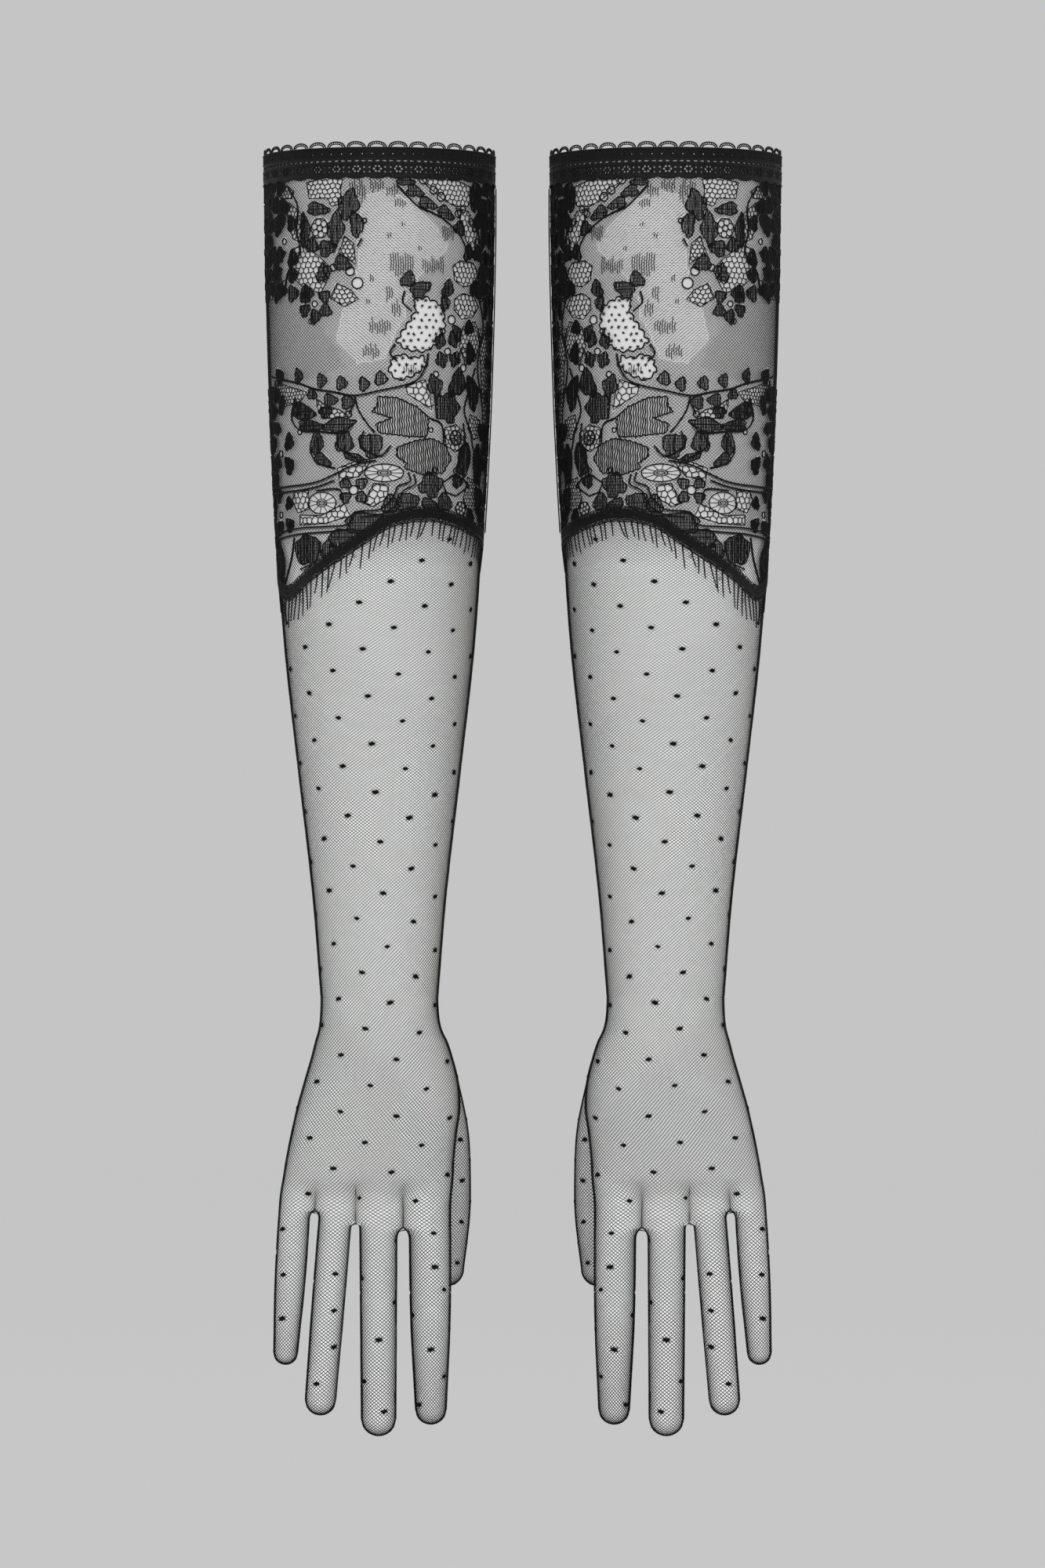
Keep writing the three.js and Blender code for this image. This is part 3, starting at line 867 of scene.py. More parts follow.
class Strands:
    # threads as chains of flat points: distance across the cloth, drop, thickness and lift

    def __init__(self):
        self.parts, self.count = [], 0

    def add(self, points, thick, lift=0.0, closed=False, longest=3.6):
        points = np.asarray(points, float)
        if closed:
            points = np.concatenate([points, points[:1]])
        gaps = np.ceil(np.linalg.norm(np.diff(points, axis=0), axis=1) / longest)
        gaps = np.maximum(1, gaps.astype(int))
        steps = np.concatenate([[0.0], *[n + np.arange(1, g + 1) / g for n, g in enumerate(gaps)]])
        spread = np.stack([np.interp(steps, np.arange(len(points)), points[:, c]) for c in (0, 1)], 1)
        thicks = np.interp(steps, np.arange(len(points)), np.ones(len(points)) * thick)
        self.parts.append((spread, thicks, np.full(len(spread), lift), np.full(len(spread), self.count)))
        self.count += 1

    def wrapped(self, side):
        # points in space, chain numbers and thicknesses
        flat, thicks, lifts, chains = (np.concatenate([p[n] for p in self.parts]) for n in range(4))
        angle = angleAt(flat[:, 0], flat[:, 1])
        points = skin(angle, flat[:, 1], lace["offset"])
        points = points + (skin(angle, flat[:, 1], lace["offset"] + 1) - points) * lifts[:, None]
        points[:, 1] *= side
        return points, chains, thicks


def pointsIn(polygon, points):
    x, y = points[..., 0], points[..., 1]
    inside = np.zeros(x.shape, bool)
    for (ax, ay), (bx, by) in zip(polygon, np.roll(polygon, -1, 0)):
        crosses = (ay > y) != (by > y)
        inside ^= crosses & (x < (bx - ax) * (y - ay) / ((by - ay) or 1e-9) + ax)
    return inside


def spans(polygon, x):
    # where an upright line at x lies inside a polygon
    a, b = polygon, np.roll(polygon, -1, 0)
    hit = (a[:, 0] > x) != (b[:, 0] > x)
    y = a[hit, 1] + (x - a[hit, 0]) * (b[hit, 1] - a[hit, 1]) / (b[hit, 0] - a[hit, 0])
    y.sort()
    return list(zip(y[::2], y[1::2]))


def oval(x, drop, halfWide, halfTall, lean=0.0, lobes=0, depth=0.0, count=24):
    a = np.linspace(0, 2 * math.pi, count, endpoint=False)
    r = 1 + depth * np.cos(lobes * a) + depth * .45 * np.cos((2 * lobes + 1) * a + 1) * (lobes > 0)
    px, py = halfWide * r * np.cos(a), halfTall * r * np.sin(a)
    c, s = math.cos(lean), math.sin(lean)
    return np.stack([x + px * c - py * s, drop + px * s + py * c], 1)


def runs(path):
    # the distance along a path at each of its points
    return np.concatenate([[0], np.cumsum(np.linalg.norm(np.diff(path, axis=0), axis=1))])


def onCloth(points):
    # from straight across the front to along the cloth
    points = np.asarray(points, float)
    return np.stack([acrossAt(points[:, 0], points[:, 1]), points[:, 1]], 1)


lace = {
    "offset": .62, "groundStep": (.80, .72), "groundThick": .115, "meshThick": .14, "dashThick": .155,
    "outline": .36, "cord": .46, "stripe": (.7, .29), "weft": (1.3, .14), "combThick": .27,
    "fanStripe": (1.02, .33),
    "top": 12.6, "aboveEdge": 4.6, "reach": (82, 195),
    "leafScale": .56, "lobe": .16, "veinFrom": 6, "starStep": (3.3, 2.9), "cordStep": 1.3,
    "shadow": (.5, .62), "strokeStep": 1.05,
}

leaves = [  # across, drop, width, height, lean in degrees, lobes
    (-25.3, 26, 9.6, 4.6, 8, 3), (-12, 24.5, 7.5, 11, 15, 4), (-8.7, 33, 5, 9.5, -8, 3),
    (-30.8, 34.8, 4.4, 12.5, 0, 3), (-17.5, 34.8, 6.2, 12.5, 5, 4), (-27.6, 41.5, 5.4, 5.4, 30, 3),
    (-21.2, 43, 7, 6, -10, 3), (-23, 53.6, 5, 7, 20, 3), (-14.8, 49.5, 6.8, 5.6, 25, 3),
    (-36.5, 31.5, 5, 6, 0, 3), (-42.5, 33, 5, 6, 0, 3), (-36, 46.5, 5, 6.5, 20, 3),
    (-43, 45.5, 5, 6, -20, 3), (-36, 53.5, 5, 6, 0, 3), (-43, 53, 5, 6, 10, 3), (-36, 61.5, 5.5, 6, 0, 3),
    (-43, 62, 5, 5, 0, 3), (-30, 61.5, 6, 5, 20, 3), (-40, 24.5, 7, 6, 0, 3), (-46, 20, 5, 8, 0, 3),
    (-46.5, 28, 5, 8, 0, 3), (-47, 38, 4, 9, 0, 3), (-47, 48, 4, 9, 0, 3), (-30.5, 63.5, 4.6, 4.6, 40, 3),
    (-22.3, 63.5, 4.6, 4.6, -40, 3), (-30.8, 69, 5, 4.4, -30, 3), (-21.8, 69.5, 5, 4.6, 30, 3),
    (-26.3, 72, 4.4, 5.4, 0, 3), (11.7, 14.3, 6.8, 3.6, 10, 3), (15.8, 18.7, 6.6, 4.2, 20, 3),
    (21.1, 23.8, 7.6, 4, 20, 3), (28.7, 27.6, 7.6, 4.6, 30, 3), (34.5, 33.7, 5.6, 5, 50, 3),
    (40.5, 21, 5, 9, -10, 3), (45, 26, 5, 9, 0, 3), (38.2, 44, 4.6, 6.5, 20, 3),
    (44.5, 36.5, 4.4, 9, 0, 3), (45.4, 47.5, 4, 9, 0, 3), (44.6, 54.5, 4, 6, 0, 3),
    (29.6, 60, 4.6, 7, 25, 3), (28.4, 66, 4, 6, 0, 3), (40.3, 59.6, 4.4, 4, 0, 3),
    (18, 60.5, 8.6, 5.6, -25, 3), (13, 56.5, 5, 6, 40, 3), (45.4, 67, 4, 8, 0, 3),
    (38.6, 76, 5, 5, 20, 3), (33.4, 78.5, 4, 6, -20, 3), (26.4, 82.4, 4.4, 5.6, 20, 4),
    (31.9, 81.6, 4.4, 5.6, -20, 4), (27, 90.4, 4.8, 5.6, -20, 4), (32.5, 89.9, 4.8, 5.6, 20, 4),
    (39, 87, 5, 8, 0, 3), (-42, 96.6, 5.4, 6.4, -20, 3), (-33.5, 97, 3.8, 5.6, 0, 3),
    (-23.6, 99.4, 4, 5.2, 0, 3), (-15.1, 100.6, 4, 5, 5, 3), (-5.6, 101.2, 3.8, 5.2, -5, 3),
    (1.5, 98.8, 4.6, 5, 15, 3), (-27.7, 105, 4.4, 4, 30, 3), (-19.9, 107.8, 5.4, 4.6, 0, 3),
    (-12.4, 108.8, 5, 5, 0, 3), (-21.9, 112.9, 5, 4.4, -20, 3), (-31.8, 112.2, 11.5, 6, 14, 3),
    (-28.7, 118.3, 11.5, 4.2, 6, 3), (-16.5, 118.3, 13, 5, -8, 4), (-25.2, 126.5, 4.4, 8, 15, 3),
    (-23.4, 133.2, 7.6, 4.2, 28, 3), (-13.8, 126.1, 6.5, 7.6, 35, 3), (-2.6, 127.2, 8.5, 9.6, -35, 3),
    (-9.5, 132.5, 8, 3.4, 20, 2), (22.4, 144, 9.6, 9, -15, 4), (29.5, 110.5, 10.6, 11.5, 0, 5),
    (33.6, 100.2, 7.5, 11, 25, 3), (40, 104, 7, 13, -15, 3), (24.2, 101.5, 6, 8, -20, 4),
    (36.4, 132.6, 6, 15, 12, 2), (42, 134.5, 6, 18, -4, 2), (45.6, 128, 4, 14, 0, 2),
    (33.5, 142, 5, 5, 0, 3), (42, 150, 5, 10, -10, 3), (28, 151.5, 6.5, 7, 15, 3),
    (21.5, 153, 6, 6.4, -10, 3), (38.8, 157.5, 5, 7, 0, 3), (-44.5, 125, 4.6, 6.5, -20, 3),
    (-37.8, 125, 5, 6.5, 20, 3), (-44.5, 135, 4.6, 7, 20, 3), (-37.8, 135, 5, 7, -20, 3),
    (-44.5, 151, 4.6, 6, -20, 3), (-37.8, 151.4, 4.4, 5, 20, 3), (-44.6, 161, 4.6, 6, 20, 3),
    (-37.5, 160.5, 4.8, 5.5, -20, 3), (-46, 107, 4, 14, 0, 3), (-41, 109, 3.4, 9, 15, 2),
    (-13.4, 143.4, 4.4, 4, 35, 3), (-6.6, 143.4, 4.4, 4, -35, 3), (-13.4, 149.4, 4.4, 4, -35, 3),
    (-6.6, 149.4, 4.4, 4, 35, 3), (-3.5, 160.2, 20, 7.4, -4, 3), (-13.5, 166.5, 15, 6.6, -10, 3),
    (-30, 171.4, 11, 13, -12, 2), (-41.5, 178, 7, 18, 0, 2), (-20.5, 172, 7, 7, 20, 3),
    (5.4, 152.5, 6, 7, 20, 3), (12.5, 151.5, 8.6, 7.4, -15, 3), (-45.4, 170, 4, 9, 0, 2),
]
combs = [  # outline across and drop, cell size
    ([(-30, 14.5), (-22, 12.8), (-14.5, 13), (-15.5, 18), (-15, 24), (-19.5, 25), (-21, 21.5),
     (-29, 21.5)], 2.3), ([(-42, 17), (-38.5, 15), (-35.5, 18), (-36.5, 20.8), (-41, 20.6)], 1.9),
    ([(-41, 20), (-36, 24), (-31, 29), (-33, 40), (-36, 38), (-38, 30)], 2.2),
    ([(-37, 43), (-32, 41), (-25, 46), (-19, 52), (-22, 58), (-24, 62), (-30, 60), (-36, 55),
     (-38, 48)], 2.6), ([(-47, 55), (-44, 50), (-41, 55), (-41, 63), (-46.5, 63)], 2.4),
    ([(-14, 38), (-10, 41), (-9, 50), (-13, 47), (-17, 46), (-15, 42)], 1.9),
    ([(-17, 58), (-11, 61), (-8, 65), (-14, 68), (-20, 64)], 2.2),
    ([(18, 12.8), (34, 13.5), (42, 17), (38, 24), (33, 24.5), (28, 22), (22, 17)], 2.4),
    ([(33, 25), (38, 26), (42, 34), (41, 44), (37.5, 39), (35.5, 32)], 2.6),
    ([(31.8, 50), (35, 47.5), (40, 48), (42.4, 52), (40.6, 57.6), (36, 58.6), (32.5, 56)], 2.5),
    ([(32.6, 64), (36, 61.4), (40.6, 62.4), (42.4, 66.8), (40, 71.4), (35.4, 72.6), (32.4, 68.6)], 2.5),
    ([(36, 76), (41, 73), (43.5, 80), (41, 90), (37, 92), (34.5, 84)], 2.2),
    ([(-44, 98), (-36, 102), (-30, 104), (-33, 108), (-41, 110), (-44, 105)], 1.9),
    ([(-26, 107), (-22, 110), (-16, 112), (-12, 114.5), (-16, 115.6), (-22, 115.5), (-25, 113)], 2.2),
    ([(12, 102), (20, 99), (22, 104), (23, 112), (18, 108.5), (13, 105.5)], 3.0),
    ([(-35, 145.8), (-29.4, 146), (-29, 154), (-34, 155.5), (-36.4, 150)], 2.7),
    ([(-17, 137), (-8, 133.5), (-2, 133), (-4.8, 137), (-8, 140.5), (-16, 142.5)], 2.7),
    ([(-33, 156.5), (-24, 157), (-14, 152), (-11.5, 157.4), (-22, 160.4), (-33, 160.8)], 2.8),
    ([(-1.5, 143.5), (5, 144), (4, 150), (-2, 153.4), (-6, 152)], 2.9),
    ([(28.2, 119.5), (33, 117.8), (37, 121), (37, 127), (33, 129.5), (29, 127)], 2.3),
    ([(38, 140), (43, 143), (42.5, 152), (38.6, 156), (36, 150)], 1.7),
    ([(39, 113), (43, 115), (43.5, 122), (40, 124), (38, 119)], 1.9),
    ([(42.4, 76), (47.4, 74), (48.6, 90), (48, 128), (44.6, 130), (44, 112), (43.4, 94)], 2.1),
]
fans = [  # outlines of the big striped leaves, across and drop
    [(.2, 106.4), (8.3, 107), (16.2, 110.5), (21.9, 115.3), (20.6, 123.4), (13.8, 123.4), (.9, 122),
     (-.5, 118.3), (6.3, 115.6), (-2.2, 112.9), (.2, 109.8)],
    [(8.3, 128.2), (16.2, 125.1), (23, 124.1), (28.4, 126.5), (31.1, 132.6), (27.4, 138.7),
     (19.2, 139.7), (11.4, 137), (12.4, 135), (8.3, 131.9)],
]
openBlobs = [  # outlines with small stars in them
    [(15.1, 65), (21, 64), (27.7, 67.7), (28.4, 75.8), (25, 83.6), (20.2, 87), (12.4, 86.4), (8.3, 83),
     (10.4, 79.2), (14.5, 73.1), (16.5, 69)],
    [(6, 90.5), (10, 88.4), (15, 90), (19, 89), (21, 92.5), (16, 97), (9, 99.6), (5, 96)],
]
pocket = [(27.4, 143), (32, 139.4), (36, 140.6), (38.3, 144), (33, 148.4), (29, 147)]
dashArea = [(-6, 21), (4, 18.5), (12, 22), (22, 31), (30, 41), (26, 47), (19, 53), (14.5, 60), (11.5, 66),
            (12, 72), (7.5, 79), (3, 90), (-8, 92), (-17, 82), (-14.5, 70), (-9.5, 60), (-7.5, 50),
            (-8, 40)]
meshArea = [(-50, 63.6), (-33, 64.5), (-24, 76), (-17, 86), (-14, 94), (-30, 99), (-50, 96)]
strokes = [  # across, drop, width, height of groups of upright strokes
    (-8.5, 18.5, 6.5, 12), (0, 16.5, 6, 7), (6.5, 18.5, 5, 6), (10.3, 50.2, 9.5, 10.5),
    (23.5, 50, 9.5, 8), (1.2, 76.2, 8.8, 7.6), (-2.6, 87.3, 6.8, 7.4), (10, 24, 5, 5), (30, 36, 6, 8),
    (5.5, 62, 3, 9), (8, 69, 3.6, 9), (14, 95, 6, 5), (-2, 56, 2, 4), (5, 38, 1.2, 3), (-4, 66, 1.2, 3),
    (11, 33, 1.2, 3), (18, 43, 1.2, 3),
]
holes = [  # across, drop and radius of ringed holes
    (-11.4, 53, 1.9), (-8.3, 58.1, 2.4), (-18.5, 51.3, 1.5), (-26.4, 66.5, 1.35), (-28, 73.8, 1.2),
    (-39.6, 39, 1.3), (-39.6, 57, 1.4), (19.2, 13.8, 1.7), (23.6, 18, 1.7), (26.7, 20.7, 1.9),
    (33.8, 27.5, 1.6), (35.9, 25.5, 1.5), (39.3, 30.6, 1.5), (41, 33.3, 1.4), (41.7, 38.8, 1.4),
    (43.4, 41.5, 1.3), (31.1, 73.1, 1.9), (27.4, 78.2, 1.2), (29.4, 86.7, 1.5), (-12, 113.9, 1.4),
    (-41.3, 129.9, 1.5), (-41.3, 156, 1.4), (-10, 146.3, 2), (-44, 103, 1.3), (-33, 121, 1.1),
    (24.6, 96.6, 1.3), (36, 93.4, 1.6), (24, 137.5, 1.1), (32.8, 137.6, 1.2), (-5.4, 31.5, 1.0),
    (22.4, 120.5, 1.0),
]
roses = [  # across, drop, radius and number of holes round the middle
    (-24.3, 34.3, 4.2, 6), (43.4, 61.9, 2.5, 7), (34.9, 153.7, 3.1, 6), (32.8, 123.4, 3.2, 6),
]
wheels = [(2.9, 139, 8.3, 3.8, 11), (-23.6, 151.6, 6.8, 4.7, 11)]  # across, drop, half sizes, spokes
cords = [  # heavy outline cords, across and drop
    [(-45.4, 96.2), (-33.8, 100), (-27, 102.7), (-18.2, 104.4), (-9.7, 106), (.9, 104), (12.4, 101.3),
     (17.5, 98.6), (20.6, 92.5), (21.5, 87.6)],
    [(8.3, 16), (12.5, 20.6), (17.2, 25.2), (22.6, 27.4), (28.4, 30.6), (35.2, 37.4), (38.6, 46.2)],
    [(-46, 144.5), (-34.9, 143.8), (-25.7, 142.5), (-18.2, 139.4), (-10.4, 135.7), (-.5, 133.6)],
    [(-46, 146.6), (-34.9, 146), (-25.7, 144.6), (-17.6, 141.8)],
    [(13.1, 138.7), (13.8, 142.5), (8.7, 144.8), (7.4, 148), (5.6, 151), (.9, 154.7), (-9.7, 156),
     (-12, 160.8), (-21.9, 161.8), (-33.2, 162.2), (-46, 165.2)],
    [(15.4, 139.4), (16, 143.6), (11, 146.6), (9.4, 150), (7.4, 153.4), (1.4, 156.8), (-8, 158)],
    [(-46, 167.4), (-33.2, 164.6), (-21.9, 164), (-12.5, 163)], [(-26, 146.3), (-16, 146), (-15, 150.5)],
    [(-35, 106), (-36.5, 115), (-33, 120), (-24, 121), (-14, 121.6), (-9.6, 117)],
    [(-26.6, 121), (-28.4, 129), (-25, 134.4), (-17, 137)], [(-17, 121.5), (-16.5, 128), (-8.5, 133)],
    [(-5.6, 121), (-7, 127), (1, 131.8), (6, 127)], [(-9.7, 106), (-8, 112), (-5, 117), (-1, 122)],
    [(21.9, 115.3), (27, 118), (28, 126)], [(36, 117), (36.5, 124), (34.6, 131), (32.6, 139)],
    [(41, 93), (38, 104), (36.4, 112), (39, 121), (40, 128)], [(-24, 168), (-26, 176), (-33, 180)],
    [(-35.5, 166), (-37, 176), (-40, 187)], [(-12, 113.9), (-10.4, 110)],
    [(44, 15), (42, 30), (43.6, 45), (42.4, 60), (44.4, 75), (42, 92), (44, 110)],
    [(-38, 16), (-34, 24), (-34.5, 34), (-33, 44), (-38, 52), (-40, 62)], [(7.5, 84), (5.4, 88), (9, 92)],
    [(14.4, 70), (10.6, 66), (11.6, 61)], [(24, 104), (25, 116)], [(-6.4, 39), (-8.6, 43)],
    [(33, 91), (36, 84)],
]


def striped(strands, polygon, stripe="stripe", wave=0.0):
    # upright threads close together inside an outline, with a few cross threads
    step, wide = lace[stripe]
    low, high = polygon.min(0), polygon.max(0)
    for x in np.arange(low[0] + step * .6, high[0], step):
        for a, b in spans(polygon, x + rng.normal(0, .04)):
            if b - a > .5:
                rows = np.linspace(a, b, max(2, int((b - a) / 1.1) + 1))
                sway = wave * np.sin(rows * 1.5 + x * .5) + rng.normal(0, .05, len(rows))
                strands.add(np.stack([x + sway, rows], 1), wide)
    if not wave:
        turned = polygon[:, ::-1]
        for y in np.arange(low[1] + .6, high[1], lace["weft"][0]):
            for a, b in spans(turned, y):
                if b - a > .8:
                    strands.add([(a, y), (b, y + rng.normal(0, .1))], lace["weft"][1], -.08)
    strands.add(polygon + rng.normal(0, .07, polygon.shape), lace["outline"], .1, closed=True)


def honeycomb(strands, polygon, cell):
    low, high = polygon.min(0) - cell, polygon.max(0) + cell
    side = cell / math.sqrt(3)
    for row, y in enumerate(np.arange(low[1], high[1], side * 1.5)):
        for x in np.arange(low[0] + (row % 2) * cell / 2, high[0], cell):
            top, right, foot = (x, y + side), (x + cell / 2, y + side / 2), (x + cell / 2, y - side / 2)
            for a, b in ((top, (x - cell / 2, y + side / 2)), (top, right), (foot, right)):
                a, b = ([p[0] + cell * .13 * math.sin(p[0] * 5.1 + p[1] * 3.3),
                         p[1] + cell * .13 * math.sin(p[0] * 3.7 - p[1] * 4.9)] for p in (a, b))
                if pointsIn(polygon, (np.array(a) + b) / 2):
                    strands.add([a, b], lace["combThick"])
    strands.add(polygon, lace["outline"] * .8, .05, closed=True)


def jagged(polygon, depth=.5, turns=1.35):
    # scallops along an outline
    loop = np.concatenate([polygon, polygon[:1]])
    steps = runs(loop)
    fine = np.arange(0, steps[-1] - .3, .6)
    points = np.stack([np.interp(fine, steps, loop[:, c]) for c in (0, 1)], 1)
    ahead = np.roll(points, -1, 0) - np.roll(points, 1, 0)
    normal = np.stack([ahead[:, 1], -ahead[:, 0]], 1) / np.linalg.norm(ahead, axis=1)[:, None]
    return points + normal * (depth * (np.abs(np.sin(fine * turns)) - .5))[:, None]


def ringed(strands, x, drop, radius, thick):
    strands.add(oval(x, drop, radius, radius, count=14), thick, .12, closed=True)


def rose(strands, cleared, x, drop, radius, petals):
    x = acrossAt(x, drop)
    cleared.append(oval(x, drop, radius * 1.08, radius * 1.08))
    ringed(strands, x, drop, radius * .3, lace["outline"] * .8)
    for n in range(petals):
        a = 2 * math.pi * n / petals + .3
        strands.add(oval(x + radius * .64 * math.cos(a), drop + radius * .64 * math.sin(a), radius * .33,
                         radius * .33, count=12), lace["outline"] * .8, .08, closed=True)
    strands.add(oval(x, drop, radius, radius, lobes=petals, depth=.05), lace["outline"], .1, closed=True)


def wheel(strands, cleared, x, drop, halfWide, halfTall, spokes):
    x = acrossAt(x, drop)
    cleared.append(oval(x, drop, halfWide, halfTall))
    for scale, thick in ((1, .34), (.36, .22), (.2, .2)):
        strands.add(oval(x, drop, halfWide * scale, halfTall * scale, count=30), thick, .1, closed=True)
    for n in range(spokes):
        a = 2 * math.pi * n / spokes
        strands.add([(x + halfWide * s * math.cos(a), drop + halfTall * s * math.sin(a))
                     for s in (.3, .65, 1)], .2)
    for n in range(9):
        at = x + halfWide * .36 * (n - 4) / 4.6
        strands.add([(at - .4, drop - halfTall * .22), (at + .4, drop + halfTall * .22)], .12)


def star(strands, x, drop):
    for a in (.4, 1.4, 2.5):
        reach = rng.uniform(.55, 1.0)
        strands.add([(x - reach * math.cos(a), drop - reach * math.sin(a)),
                     (x + reach * math.cos(a), drop + reach * math.sin(a))], .2)


foliage = {  # patches: side, drops from and to, and where they begin across; steps down and across
    "patches": [(-1, 16, 61, 49), (-1, 104, 186, 54), (1, 16, 60, 50), (1, 62, 118, 62),
                (1, 120, 166, 55)],
    "step": (7.2, 7.4), "end": 76,
}


def sideLeaves():
    # close foliage down both sides of the cuff, where it turns away to the inner face
    made = []
    down, wide = foliage["step"]
    for sign, low, high, near in foliage["patches"]:
        for row, drop in enumerate(np.arange(low, high, down)):
            for x in np.arange(near + (row % 2) * down / 2, foliage["end"], wide):
                if row % 4 != 3 or (x // wide) % 3 != 1:
                    made.append((sign * (x + rng.normal(0, .4)), drop + rng.normal(0, .5),
                                 rng.uniform(6.2, 8), rng.uniform(6, 8), rng.uniform(-.7, .7),
                                 int(rng.integers(2, 5))))
    for row, drop in enumerate((172, 179.5)):  # the deep point of the inner face
        for n in range(6 - row):
            made.append((9 + 4 * row + 8.2 * n, drop + (n % 2) * 1.6, 7.2 - .4 * (n % 3),
                         6.4 + .5 * (n % 2), .5 - .35 * (n % 4), 2 + (n + row) % 3))
    return made


def buildLace():
    strands, fine, cleared, drawn = Strands(), Strands(), [], []
    for x, drop, wide, tall, lean, lobes in leaves:
        x = acrossAt(x, drop)
        scale = lace["leafScale"]
        shape = oval(x, drop, wide * scale, tall * scale, math.radians(lean), lobes, lace["lobe"])
        cleared.append(shape)
        drawn.append(shape)
        if max(wide, tall) > lace["veinFrom"]:
            reach = np.array([wide, 0]) if wide > tall else np.array([0, tall])
            strands.add([(x, drop) - reach * .4, (x + .3, drop), (x, drop) + reach * .45], .2, .1)
    for shape in fans:
        shape = jagged(onCloth(shape))
        cleared.append(shape)
        striped(strands, shape, "fanStripe", .22)
    for x, drop, wide, tall, lean, lobes in sideLeaves():
        shape = oval(x, drop, wide / 2, tall / 2, lean, lobes, lace["lobe"])
        cleared.append(shape)
        drawn.append(shape)
    for x, drop, radius in holes:
        x = acrossAt(x, drop)
        shape = oval(x, drop, radius, radius, count=14)
        cleared.append(shape)
        ringed(strands, x, drop, radius, lace["outline"] * 1.05)
    for shape in drawn:
        striped(strands, shape)
    for outline, cell in combs:
        shape = onCloth(outline)
        cleared.append(shape)
        honeycomb(fine, shape, cell)
    for outline in openBlobs:
        shape = jagged(onCloth(outline), 1.2, .75)
        cleared.append(shape)
        strands.add(shape, lace["cord"] * .9, .1, closed=True)
        low, high, (wide, down) = shape.min(0), shape.max(0), lace["starStep"]
        for row, y in enumerate(np.arange(low[1] + 1.6, high[1], down)):
            for x in np.arange(low[0] + (row % 2) * 1.6, high[0], wide):
                at = np.array([x, y]) + rng.normal(0, .25, 2)
                if pointsIn(shape, at):
                    star(fine, *at)
    for spec in roses:
        rose(strands, cleared, *spec)
    for spec in wheels:
        wheel(strands, cleared, *spec)
    strands.add(onCloth(pocket), lace["cord"], .1, closed=True)
    for line in cords:
        line = onCloth(line)
        steps = runs(line)
        even = np.arange(0, steps[-1], lace["cordStep"])
        smoothLine = np.stack([along(list(zip(steps, line[:, c])), even) for c in (0, 1)], 1)
        strands.add(smoothLine, lace["cord"], .15)
        strands.add(smoothLine + lace["shadow"], .15, .05)
    for x, drop, wide, tall in strokes:
        x = acrossAt(x, drop)
        for at in np.arange(x - wide / 2, x + wide / 2 + .01, lace["strokeStep"]):
            top = drop - tall / 2 + rng.uniform(0, tall * .35)
            end = drop + tall / 2 - rng.uniform(0, tall * .35)
            fine.add([(at, top), (at + .35, (top + end) / 2), (at + .1, end)], .2)
    ground(fine, cleared)
    return fine, strands


def ground(strands, cleared):
    # the diamond ground between the motifs, which thins to short dashes in the middle
    a, b = lace["groundStep"]
    rows, columns = int(lace["reach"][1] / b), int(lace["reach"][0] / a)
    i, j = np.meshgrid(np.arange(-columns, columns + 1), np.arange(rows))
    drop = lace["top"] + j * b + .12 * np.sin(i / 3.1)
    flat = np.stack([i * a + .15 * np.sin(j / 4.3 + i / 9), drop], -1)
    half = halfCloth(drop)
    inside = np.abs(flat[..., 0]) < half + .4
    flat[..., 0] = np.clip(flat[..., 0], -half, half)
    for shape in cleared:
        inside &= ~pointsIn(shape, flat)
    middle, open_ = pointsIn(onCloth(dashArea), flat), pointsIn(onCloth(meshArea), flat)
    thick = np.where(open_, lace["meshThick"], lace["groundThick"])
    points, chains = diagonals(np.dstack([flat, thick]), i, j, inside & ~middle, j % 2 == 0)
    strands.parts.append((points[:, :2], points[:, 2], np.zeros(len(points)), chains + strands.count))
    strands.count += int(chains.max()) + 1
    dash = inside & middle & ((i + j) % 2 == 0)
    for x, y in flat[dash]:
        lean = .28 + .12 * math.sin(x / 6 + y / 11)
        strands.add([(x - .42, y - lean * .6), (x + .42, y + lean * .6)],
                    lace["dashThick"] * rng.uniform(.85, 1.15))


def below(strands, side):
    # the part of the drawing that lies between the band and the scalloped border on one side
    kept = Strands()
    for flat, thicks, lifts, chains in strands.parts:
        angle = angleAt(flat[:, 0], flat[:, 1]) * side
        inside = (flat[:, 1] < scallopDrop(angle) - lace["aboveEdge"]) & (flat[:, 1] > lace["top"] - .6)
        inside &= np.abs(flat[:, 0]) <= halfCloth(flat[:, 1]) + .3
        if inside.any():
            changes = (inside[1:] != inside[:-1]) | (chains[1:] != chains[:-1])
            run = np.cumsum(np.concatenate([[0], changes]))
            kept.parts.append((flat[inside], thicks[inside], lifts[inside], run[inside] + kept.count))
            kept.count += int(run.max()) + 1
    return kept


openwork, motifs = buildLace()
for name, side in (("back", 1), ("inner", -1)):
    for kind, drawing in (("lace", openwork), ("lace_motifs", motifs)):
        threadPiece(f"{kind}_{name}", "laceThread", onSleeves, *below(drawing, side).wrapped(side))

# ---- elastic band with eyelets, and picot loops

band = {
    "units": 34, "height": 12.6, "foot": .9, "inside": .35, "wall": .85, "step": 1.0,
    "dashes": [(1.5, 5.9, 1.0, .34), (4.55, 5.9, 1.0, .34), (7.6, 5.9, 1.0, .34)],
    "flower": (4.55, 9.3, 1.45, .52, 6), "pins": [(2.2, 2.9, .3), (6.9, 2.9, .3)],
    "slits": [(1.3, 8.6, .5, .42), (1.3, 10.6, .42, .4), (7.8, 8.6, .5, .42), (7.8, 10.6, .42, .4)],
    "cords": [(.35, .34, .1), (1.1, .2, .15), (4.3, .26, .12), (7.4, .26, .12), (2.2, .16, .3),
              (3.3, .16, .3)],
    "room": .45,
}


